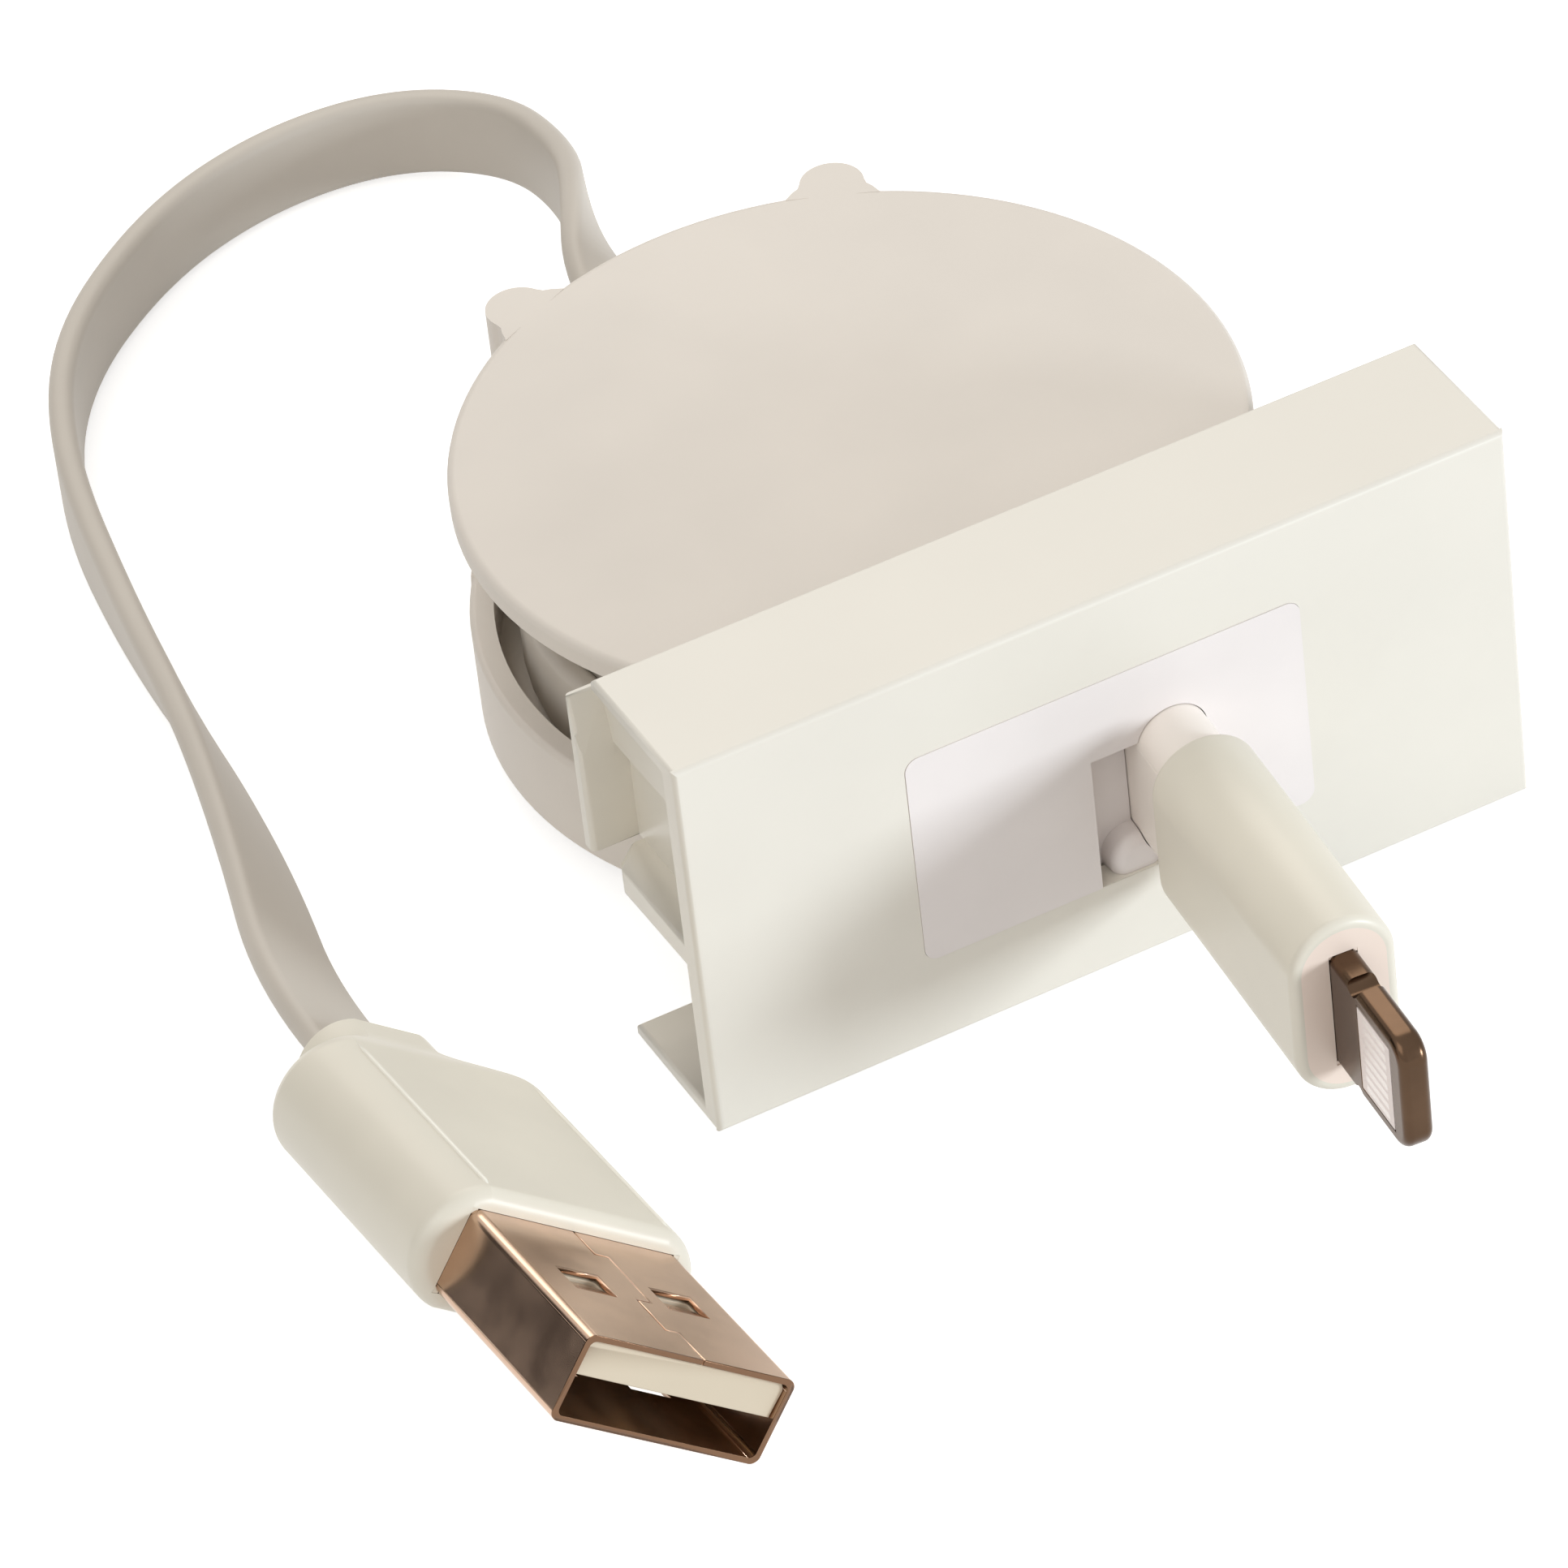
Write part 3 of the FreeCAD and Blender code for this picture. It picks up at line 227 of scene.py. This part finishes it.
finishes = {
    "panelIvory": plastic("panelIvory", linear(228, 223, 212), 0.34, mottle=0.015),
    "reelBeige": plastic("reelBeige", linear(224, 216, 206), 0.48, grain=0.25),
    "insertPale": plastic("insertPale", linear(233, 226, 223), 0.42, grain=0.15),
    # warm like the real sleeve, and lighter than the insert to stand in for the light the panel keeps off its
    # top: partly painted light
    "sleeveWarmAndLit": plastic("sleeveWarmAndLit", linear(249, 241, 232), 0.42, grain=0.15),
    "collarWarm": plastic("collarWarm", linear(240, 222, 208), 0.4),
    "bootCream": plastic("bootCream", linear(225, 219, 204), 0.38),
    # lighter than the boot's cream: a painted highlight on the boot's creases
    "creasePaintedHighlight": plastic("creasePaintedHighlight", linear(242, 238, 226), 0.3),
    "ribbonGrey": plastic("ribbonGrey", linear(199, 191, 180), 0.5, grain=0.2),
    "tongueCream": plastic("tongueCream", linear(210, 196, 173), 0.4),
    "plateGrey": plastic("plateGrey", linear(238, 225, 220), 0.4),
    "spoolWhite": plastic("spoolWhite", linear(226, 222, 214), 0.4),
    # the dark brown mouth colour below is a painted dark reflection on the shell's edge
    "shellMetal": metal("shellMetal", (0.60, 0.415, 0.30), 0.2, 0.12, mouthShadeColour=(0.2, 0.115, 0.07)),
    "bladeMetal": metal("bladeMetal", (0.112, 0.068, 0.042), 0.25, 0.2),
    "padPale": metal("padPale", (0.74, 0.69, 0.66), 0.4, 0.08),
    "contactGold": metal("contactGold", (0.78, 0.56, 0.24), 0.25, 0.1),
    "springSteel": metal("springSteel", (0.52, 0.52, 0.53), 0.3, 0.1),
}
print("finishes made:", len(finishes))

# studio: white floor, white surroundings, a key from the right, a soft fill, a large lamp behind
# and a dark card for the metal to mirror
studio = {
    "lamps": {
        "key": {"place": (760, -960, 190), "size": 300, "power": 9.7, "colour": (0.84, 0.92, 1.0)},
        "fill": {"place": (-330, -200, 430), "size": 400, "power": 0.8, "colour": (1.0, 0.97, 0.92)},
        "back": {"place": (140, 420, 460), "size": 400, "power": 1.2, "colour": (1.0, 0.95, 0.87)},
    },
    "lampAim": (0, 10, 10),
    "skyLevel": 0.5,     # what the surroundings give to matt surfaces
    "matt": 0.9,         # roughness of the floor and the card
    "floorSide": 3000, "floorColour": (0.80, 0.80, 0.80), "floorGlow": 0.6,
    "cardPlace": (-250, 190, 60), "cardAim": (-36, -20, 8),
    "cardWide": 420, "cardHigh": 220, "cardColour": (0.02, 0.016, 0.016),
}
white = (1.0, 1.0, 1.0)
black = (0.0, 0.0, 0.0)


def seenDirectly(tree):
    # 1 for the camera, mirrors and clear surfaces, 0 for the light that falls on the rest
    path = tree.nodes.new("ShaderNodeLightPath")
    seen = Wire(tree, path.outputs["Is Camera Ray"])
    for ray in ("Is Glossy Ray", "Is Transmission Ray"):
        seen = seen.math("MAXIMUM", seen, Wire(tree, path.outputs[ray]))
    return seen


def makeSurroundings():
    world = bpy.data.worlds.new("studioWorld")
    bpy.context.scene.world = world
    world.use_nodes = True
    tree = world.node_tree
    tree.nodes.clear()
    seen = seenDirectly(tree)
    level = seen * (1 - studio["skyLevel"]) + studio["skyLevel"]
    sky = seen.node("ShaderNodeBackground", Color=white, Strength=level)
    out = tree.nodes.new("ShaderNodeOutputWorld")
    tree.links.new(sky.socket, out.inputs["Surface"])


def makeLamps():
    for name, given in studio["lamps"].items():
        lamp = bpy.data.lights.new(name + "Light", "AREA")
        lamp.size = given["size"] * mm
        lamp.energy = given["power"]
        lamp.color = given["colour"]
        holder = bpy.data.objects.new(name + "Light", lamp)
        bpy.context.scene.collection.objects.link(holder)
        holder.matrix_world = facing(given["place"], studio["lampAim"], "-Z")


def stageSheet(name, wide, high, finish):
    x, y = wide * mm / 2, high * mm / 2
    mesh = bpy.data.meshes.new(name)
    mesh.from_pydata([(-x, -y, 0), (x, -y, 0), (x, y, 0), (-x, y, 0)], [], [(0, 1, 2, 3)])
    mesh.materials.append(finish)
    sheet = bpy.data.objects.new(name, mesh)
    bpy.context.scene.collection.objects.link(sheet)
    return sheet


def makeFloor():
    # looks white, and keeps the object's shadow
    finish, shader = startFinish("tableWhite")
    shader.inputs["Base Color"].default_value = (*studio["floorColour"], 1)
    shader.inputs["Roughness"].default_value = studio["matt"]
    shader.inputs["Specular IOR Level"].default_value = 0.0
    shader.inputs["Emission Strength"].default_value = studio["floorGlow"]
    seen = seenDirectly(finish.node_tree)
    glow = seen.node("ShaderNodeMix", {"data_type": "RGBA"}, 2, Factor=seen, i6=black, i7=white)
    seen.put(shader.inputs["Emission Color"], glow)
    stageSheet("tableTop", studio["floorSide"], studio["floorSide"], finish)


def makeCard():
    # only mirrors see it
    finish, shader = startFinish("cardDark")
    shader.inputs["Base Color"].default_value = (*studio["cardColour"], 1)
    shader.inputs["Roughness"].default_value = studio["matt"]
    card = stageSheet("darkCard", studio["cardWide"], studio["cardHigh"], finish)
    card.visible_camera = card.visible_diffuse = card.visible_shadow = False
    card.matrix_world = facing(studio["cardPlace"], studio["cardAim"], "Z")


def makeStudio():
    bpy.context.scene.view_settings.view_transform = "Standard"
    makeSurroundings()
    makeLamps()
    makeFloor()
    makeCard()


def newPiece(name, mesh, finishName, body, slotName, *standsFor):
    piece = bpy.data.objects.new(name, mesh)
    bpy.context.scene.collection.objects.link(piece)
    mesh.materials.clear()
    mesh.materials.append(finishes[finishName])
    if body:
        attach(piece, body)
    if standsFor:
        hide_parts(*standsFor)
    return piece


# how close vertices are joined, and how flat neighbouring triangles become one face
joining = {"close": 0.0005, "flat": 0.6}


def mergedMesh(nodeName, name):
    # a copy of a node's mesh with its loose triangles joined into whole faces
    mesh = nodes[nodeName].data.copy()
    mesh.name = name
    work = bmesh.new()
    work.from_mesh(mesh)
    bmesh.ops.remove_doubles(work, verts=work.verts, dist=joining["close"] * mm)
    bmesh.ops.dissolve_limit(work, angle_limit=math.radians(joining["flat"]),
                             verts=work.verts, edges=work.edges)
    work.to_mesh(mesh)
    work.free()
    return mesh


# flat lead from the reel to the usb plug: route as in the part's source
lead = {
    "width": 5.0,
    "thick": 1.35,
    "edge": 0.55,
    "length": 122.7,
    "tail": 2.1,          # what runs in through the wall before the exit
    "flatUntil": 20.0,    # it leaves the reel flat and is on its edge by here
    "leanFrom": 72.0,     # from here it turns over to the plug's own slope
    "leanAngle": -52.0,
    "order": 3,           # of the smooth line, and its steps from point to point
    "steps": 10,
    "route": [
        (0, 41.46, 6.55), (0, 49.06, 6.55), (1.9, 55.96, 5.65), (4.0, 62.96, 3.95), (3.6, 69.06, 3.05),
        (-1.2, 73.46, 2.7), (-8.5, 74.06, 2.7), (-16.24, 71.46, 2.7), (-24.44, 64.76, 2.7),
        (-28.74, 55.46, 2.7), (-30.84, 43.36, 2.7), (-31.84, 32.86, 2.9), (-33.84, 22.36, 3.5),
        (-36.89, 10.92, 4.67), (-36.84, 3.96, 5.45),
    ],
}

# every flat band: faces round each corner of its section, and the angle that stays sharp
band = {"cornerSteps": 4, "sharp": 50}


def smoothRoute():
    # points along the smooth line that the route controls
    points = lead["route"]
    curve = bpy.data.curves.new("leadLine", "CURVE")
    curve.dimensions = "3D"
    curve.resolution_u = lead["steps"]
    line = curve.splines.new("NURBS")
    line.points.add(len(points) - 1)
    for point, spot in zip(line.points, points):
        point.co = (*(Vector(spot) * mm), 1)
    line.order_u = lead["order"]
    line.use_endpoint_u = True
    holder = bpy.data.objects.new("leadLine", curve)
    bpy.context.scene.collection.objects.link(holder)
    mesh = bpy.data.meshes.new_from_object(holder)
    spots = [vertex.co.copy() for vertex in mesh.vertices]
    bpy.data.objects.remove(holder)
    bpy.data.meshes.remove(mesh)
    return spots


def bandSection(given):
    # rounded outline of a flat band, across its width first and then its thickness
    edge, steps = given["edge"], band["cornerSteps"]
    outline = []
    for side, up, first in ((1, 1, 0), (-1, 1, 90), (-1, -1, 180), (1, -1, 270)):
        for step in range(steps + 1):
            angle = math.radians(first + 90 * step / steps)
            outline.append((side * (given["width"] / 2 - edge) + edge * math.cos(angle),
                            up * (given["thick"] / 2 - edge) + edge * math.sin(angle)))
    return outline


def smoothBand(mesh):
    mesh.shade_smooth()
    mesh.set_sharp_from_angle(angle=math.radians(band["sharp"]))


def ease(share):
    share = min(1.0, max(0.0, share))
    return share * share * (3 - 2 * share)


def sweptBand(name, spots, rolls, section):
    # the section carried along the spots, turned about the line by each spot's roll
    vertices, faces = [], []
    count = len(section)
    for n, (spot, roll) in enumerate(zip(spots, rolls)):
        along = (spots[min(n + 1, len(spots) - 1)] - spots[max(n - 1, 0)]).normalized()
        up = (Vector((0, 0, 1)) - along * along.z).normalized()
        out = along.cross(up)
        wide = up * math.cos(roll) + out * math.sin(roll)
        deep = along.cross(wide)
        vertices += [spot + (wide * a + deep * b) * mm for a, b in section]
    for n in range(len(spots) - 1):
        for m in range(count):
            a, b = n * count + m, n * count + (m + 1) % count
            faces.append((a, b, b + count, a + count))
    faces.append(tuple(reversed(range(count))))
    last = (len(spots) - 1) * count
    faces.append(tuple(range(last, last + count)))
    mesh = bpy.data.meshes.new(name)
    mesh.from_pydata(vertices, [], faces)
    smoothBand(mesh)
    return mesh


def makeLead():
    spots = smoothRoute()
    travelled = [0.0]
    for before, after in zip(spots, spots[1:]):
        travelled.append(travelled[-1] + (after - before).length / mm)
    print(f"lead runs {travelled[-1]:.1f} mm")
    rolls = []
    for run in travelled:
        flat = -90 * (1 - ease(run / lead["flatUntil"]))
        lean = -lead["leanAngle"] * ease((run - lead["leanFrom"]) / (travelled[-1] - lead["leanFrom"]))
        rolls.append(math.radians(flat + lean))
    inward = (spots[0] - spots[1]).normalized() * lead["tail"] * mm
    mesh = sweptBand("leadBand", [spots[0] + inward] + spots, rolls[:1] + rolls, bandSection(lead))
    piece = newPiece("leadBand", mesh, "ribbonGrey", "case", "ribbon_grey", "lead_cord")
    return piece, spots


# pull-out ribbon between the roll and the plug's sleeve, built straight and fixed in place; the real one
# draws out as the plug moves
pull = {
    "width": 4.2,
    "thick": 1.3,
    "edge": 0.5,
    "inner": 10.3,       # along the plug's line from the panel's front, inwards
    "outer": 2.2,
    "holdIn": 9.3,       # behind this the real ribbon stays with the reel
    "holdOut": 3.2,      # before this the real ribbon goes with the plug
    "rings": 24,
    "linePlace": (3.4, -4.25, 11.4),
    "axisPlace": (3.4, -4.25, 9.9),      # the plug hangs a little below its ribbon
    "plugYaw": -4.4,
}


def plugFrame(place):
    return Matrix.Translation(Vector(place)) @ Matrix.Rotation(math.radians(pull["plugYaw"]), 4, "Z")


def makePullRibbon():
    line = plugFrame(pull["linePlace"])

    def spot(along):
        return (line @ Vector((0, along, 0))) * mm

    step = (pull["outer"] - pull["inner"]) / pull["rings"]
    spots = [spot(pull["inner"] + step * n) for n in range(pull["rings"] + 1)]
    mesh = sweptBand("pullRibbon", spots, [0.0] * len(spots), bandSection(pull))
    ribbon = newPiece("pullRibbon", mesh, "ribbonGrey", None, "ribbon_grey", "lead_ribbon")
    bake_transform(ribbon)


# the wound turns in the reel's two chambers; a turn fills this share of its pitch
windings = {
    "rollTurns": {"node": "cable_roll", "body": "reel_spool", "inner": 8.65, "outer": 15.55,
                  "thick": 1.3, "wide": 4.2, "low": 10.0, "edge": 0.5, "share": 0.97},
    "leadTurns": {"node": "lead_winding", "body": "case", "inner": 11.2, "outer": 18.0,
                  "thick": 1.35, "wide": 5.0, "low": 4.05, "edge": 0.5, "share": 0.97},
}
turnSteps = 48           # along one turn
turnCorner = 3           # faces round each corner of its section


def windingTree():
    # a spiral line, a rounded flat section along it, and the material
    tree = bpy.data.node_groups.new("woundBand", "GeometryNodeTree")
    tree.interface.new_socket("Geometry", in_out="OUTPUT", socket_type="NodeSocketGeometry")
    kinds = {"Inner": "Float", "Outer": "Float", "Turns": "Float", "Thick": "Float", "Wide": "Float",
             "Edge": "Float", "Place": "Vector", "Finish": "Material"}
    sockets = {}
    for name, kind in kinds.items():
        socket = tree.interface.new_socket(name, in_out="INPUT", socket_type="NodeSocket" + kind)
        sockets[name] = socket.identifier
    entry = tree.nodes.new("NodeGroupInput")
    given = {name: Wire(tree, entry.outputs[name]) for name in kinds}
    add = given["Inner"].node
    spiral = add("GeometryNodeCurveSpiral", Resolution=turnSteps, Height=0.0, Rotations=given["Turns"],
                 Start_Radius=given["Inner"], End_Radius=given["Outer"])
    upright = add("GeometryNodeSetCurveNormal", {"mode": "Z_UP"}, Curve=spiral)
    section = add("GeometryNodeCurvePrimitiveQuadrilateral", Width=given["Thick"], Height=given["Wide"])
    rounded = add("GeometryNodeFilletCurve", {"mode": "POLY"}, Curve=section, Count=turnCorner,
                  Radius=given["Edge"])
    wound = add("GeometryNodeCurveToMesh", Curve=upright, Profile_Curve=rounded, Fill_Caps=True)
    settled = add("GeometryNodeTransform", Geometry=wound, Translation=given["Place"])
    real = add("GeometryNodeRealizeInstances", Geometry=settled)
    coated = add("GeometryNodeSetMaterial", Geometry=real, Material=given["Finish"])
    result = tree.nodes.new("NodeGroupOutput")
    tree.links.new(coated.socket, result.inputs["Geometry"])
    return tree, sockets


def meshFromTree(name, tree, values):
    # run the tree on an empty mesh and keep what it makes
    holder = bpy.data.objects.new(name + "Maker", bpy.data.meshes.new(name + "Maker"))
    bpy.context.scene.collection.objects.link(holder)
    maker = holder.modifiers.new("maker", "NODES")
    maker.node_group = tree
    for identifier, value in values.items():
        maker[identifier] = value
    ready = holder.evaluated_get(bpy.context.evaluated_depsgraph_get())
    mesh = bpy.data.meshes.new_from_object(ready)
    mesh.name = name
    bpy.data.objects.remove(holder)
    work = bmesh.new()
    work.from_mesh(mesh)
    bmesh.ops.remove_doubles(work, verts=work.verts, dist=joining["close"] * mm)
    bmesh.ops.recalc_face_normals(work, faces=work.faces)
    work.to_mesh(mesh)
    work.free()
    return mesh


def makeWindings():
    tree, sockets = windingTree()
    for name, winding in windings.items():
        build = winding["outer"] - winding["inner"]
        values = {
            "Inner": (winding["inner"] + winding["thick"] / 2) * mm,
            "Outer": (winding["outer"] - winding["thick"] / 2) * mm,
            "Turns": build / winding["thick"] - 1,
            "Thick": winding["thick"] * winding["share"] * mm,
            "Wide": winding["wide"] * mm,
            "Edge": winding["edge"] * mm,
            "Place": Vector((*reelAxis, winding["low"] + winding["wide"] / 2)) * mm,
            "Finish": finishes["ribbonGrey"],
        }
        mesh = meshFromTree(name, tree, {sockets[key]: value for key, value in values.items()})
        smoothBand(mesh)
        newPiece(name, mesh, "ribbonGrey", winding["body"], "ribbon_grey", winding["node"])
        print(name, f"{values['Turns']:.1f} turns")


# thin moulding lines on the two upper creases of the usb boot, drawn in the plug's own frame, in a lighter
# cream that is a painted highlight along the creases
creases = {
    "aside": 5.2, "high": 3.2,
    "radius": 0.15, "sides": 8,
    "near": 0.8, "rise": 0.4, "nearShare": 0.3,      # at each end the line thins to a share of its radius
    "far": 15.2, "fade": 1.5, "farShare": 0.1,
}


def makeCreases():
    line = usbFrame()
    near, far, sides = creases["near"], creases["far"], creases["sides"]
    stations = [(near, creases["nearShare"]), (near + creases["rise"], 1.0),
                (far - creases["fade"], 1.0), (far, creases["farShare"])]
    vertices, faces = [], []
    for side in (-1, 1):
        first = len(vertices)
        for along, share in stations:
            for n in range(sides):
                angle = 2 * math.pi * n / sides
                spot = Vector((side * creases["aside"] + creases["radius"] * share * math.cos(angle), along,
                               creases["high"] + creases["radius"] * share * math.sin(angle)))
                vertices.append((line @ spot) * mm)
        for ring in range(len(stations) - 1):
            for n in range(sides):
                a, b = first + ring * sides + n, first + ring * sides + (n + 1) % sides
                faces.append((a, a + sides, b + sides, b))
        faces.append(tuple(first + n for n in range(sides)))
        last = first + (len(stations) - 1) * sides
        faces.append(tuple(last + n for n in reversed(range(sides))))
    mesh = bpy.data.meshes.new("bootCreases")
    mesh.from_pydata(vertices, [], faces)
    mesh.shade_smooth()
    return newPiece("bootCreases", mesh, "creasePaintedHighlight", "case", "boot_cream")


# rounded metal in a square hole: small fills close the hole's four corners
cornerFills = {
    "shellCorners": {"wide": 12.0, "high": 4.5, "gap": 0.05, "fill": 0.34, "front": -0.02, "deep": 0.5,
                     "finish": "bootCream", "body": "case", "slot": "boot_cream"},
    "collarCorners": {"wide": 1.5, "high": 6.7, "gap": 0.05, "fill": 0.25, "front": -18.88, "deep": 0.5,
                      "finish": "collarWarm", "body": "phone_plug", "slot": "insert_pale"},
}


def makeCornerFills(name, line):
    given = cornerFills[name]
    outX, outZ = given["wide"] / 2 + given["gap"], given["high"] / 2 + given["gap"]
    inX, inZ = outX - given["fill"], outZ - given["fill"]
    near, far = given["front"], given["front"] + given["deep"]
    work = bmesh.new()
    for side in (-1, 1):
        for up in (-1, 1):
            corners = [work.verts.new((line @ Vector((side * x, y, up * z))) * mm)
                       for y in (near, far) for x, z in ((inX, inZ), (outX, inZ), (outX, outZ), (inX, outZ))]
            for ring in ((0, 1, 2, 3), (4, 5, 6, 7), (0, 1, 5, 4), (1, 2, 6, 5), (2, 3, 7, 6), (3, 0, 4, 7)):
                work.faces.new([corners[n] for n in ring])
    bmesh.ops.recalc_face_normals(work, faces=work.faces)
    mesh = bpy.data.meshes.new(name)
    work.to_mesh(mesh)
    work.free()
    return newPiece(name, mesh, given["finish"], given["body"], given["slot"])


# moulded and metal pieces that keep the node's shape: name, finish, body, slot, edge rounding, sharp angle
# and the swell that closes their fine seams
softPieces = {
    "face_panel": ("facePanel", "panelIvory", "case", "panel_ivory", 0.22, 30, 0),
    "front_insert": ("frontInsert", "insertPale", "case", "insert_pale", 0, 30, 0.045),
    "reel_base": ("reelBase", "reelBeige", "case", "reel_beige", 0, 30, 0),
    "reel_cover": ("reelCover", "reelBeige", "case", "reel_beige", 0, 30, 0),
    "plug_sleeve": ("plugSleeve", "sleeveWarmAndLit", "phone_plug", "insert_pale", 0.12, 30, 0.05),
    "plug_boot": ("plugBoot", "bootCream", "phone_plug", "boot_cream", 0, 40, 0),
    "plug_collar": ("plugCollar", "collarWarm", "phone_plug", "insert_pale", 0, 40, 0.06),
    "plug_blade": ("plugBlade", "bladeMetal", "phone_plug", "blade_metal", 0.06, 40, 0),
    "usb_boot": ("usbBoot", "bootCream", "case", "boot_cream", 0, 10, 0.045),
    "usb_shell": ("usbShell", "shellMetal", "case", "shell_metal", 0.06, 40, 0),
    "usb_tongue": ("usbTongue", "tongueCream", "case", "tongue_cream", 0.08, 40, 0),
}

# an edge takes its rounding if it is this many roundings long, between faces this many wide
rounding = {"long": 5, "room": 2.2, "segments": 3, "swellLimit": 2.0}

# the reel base's low wall has a rolled rim
rim = {"node": "reel_base", "radius": 19.75, "high": 6.9, "round": 0.35, "reach": 0.03}

# the snap hooks' thin crests are a little blunter than the solid's
crest = {"node": "face_panel", "behind": 4.4, "top": 20.4}


def onRim(line):
    def off(spot):
        aside = math.dist(spot.xy / mm, reelAxis) - rim["radius"]
        return max(abs(aside), abs(spot.z / mm - rim["high"]))
    return all(off(vertex.co) < rim["reach"] for vertex in line.verts)


def lowerCrests(work):
    for vertex in work.verts:
        if vertex.co.y > crest["behind"] * mm and vertex.co.z > crest["top"] * mm:
            vertex.co.z = crest["top"] * mm


def takesRounding(line, edge):
    length = line.calc_length()
    if not edge or not line.is_convex or length <= rounding["long"] * edge * mm:
        return False
    return all(face.calc_area() / length > rounding["room"] * edge * mm for face in line.link_faces)


def softPiece(nodeName, name, finishName, body, slotName, edge, sharp, swell):
    # the node's own shape; its long outer edges get the small rounding of a moulded piece
    mesh = mergedMesh(nodeName, name)
    rolled = nodeName == rim["node"]
    mesh.shade_smooth()
    work = bmesh.new()
    work.from_mesh(mesh)
    if nodeName == crest["node"]:
        lowerCrests(work)
    work.normal_update()
    limit = rounding["swellLimit"]
    shifts = [vertex.normal * min(limit, vertex.calc_shell_factor()) * swell * mm for vertex in work.verts]
    for vertex, shift in zip(work.verts, shifts):
        vertex.co += shift
    weight = work.edges.layers.float.new("bevel_weight_edge")
    for line in work.edges:
        if len(line.link_faces) != 2 or abs(line.calc_face_angle()) < math.radians(sharp):
            continue
        if takesRounding(line, edge) or (rolled and onRim(line)):
            line[weight] = 1.0
        else:
            line.smooth = False
    work.to_mesh(mesh)
    work.free()
    piece = newPiece(name, mesh, finishName, body, slotName, nodeName)
    if edge or rolled:
        soften = piece.modifiers.new("moulded edges", "BEVEL")
        soften.width = (rim["round"] if rolled else edge) * mm
        soften.segments = rounding["segments"]
        soften.limit_method = "WEIGHT"
        soften.use_clamp_overlap = False
        soften.harden_normals = True
        soften.miter_outer = "MITER_ARC"
    even = piece.modifiers.new("flat faces stay flat", "WEIGHTED_NORMAL")
    even.weight = 100
    even.keep_sharp = True
    return piece


# nodes that stay as they are and only take a finish
plainNodes = {
    "contact_plate": "plateGrey",
    "plug_contacts": "padPale",
    "usb_contacts": "contactGold",
    "spool": "spoolWhite",
    "power_spring": "springSteel",
    "detent_ball": "springSteel",
    "case_screws": "springSteel",
}


def coatNode(node, finish):
    for slot in node.material_slots:
        slot.material = finish
    if not node.material_slots:
        node.data.materials.append(finish)


makeCamera()
makeStudio()
print("camera and studio made")
leadBand, leadSpots = makeLead()
makePullRibbon()
makeWindings()
print("lead, pull-out ribbon and windings made")
bootCreases = makeCreases()
shellCorners = makeCornerFills("shellCorners", usbFrame())
makeCornerFills("collarCorners", plugFrame(pull["axisPlace"]))
print("creases and corner fills made")
for nodeName, settings in softPieces.items():
    softPiece(nodeName, *settings)
for nodeName, finishName in plainNodes.items():
    coatNode(nodes[nodeName], finishes[finishName])
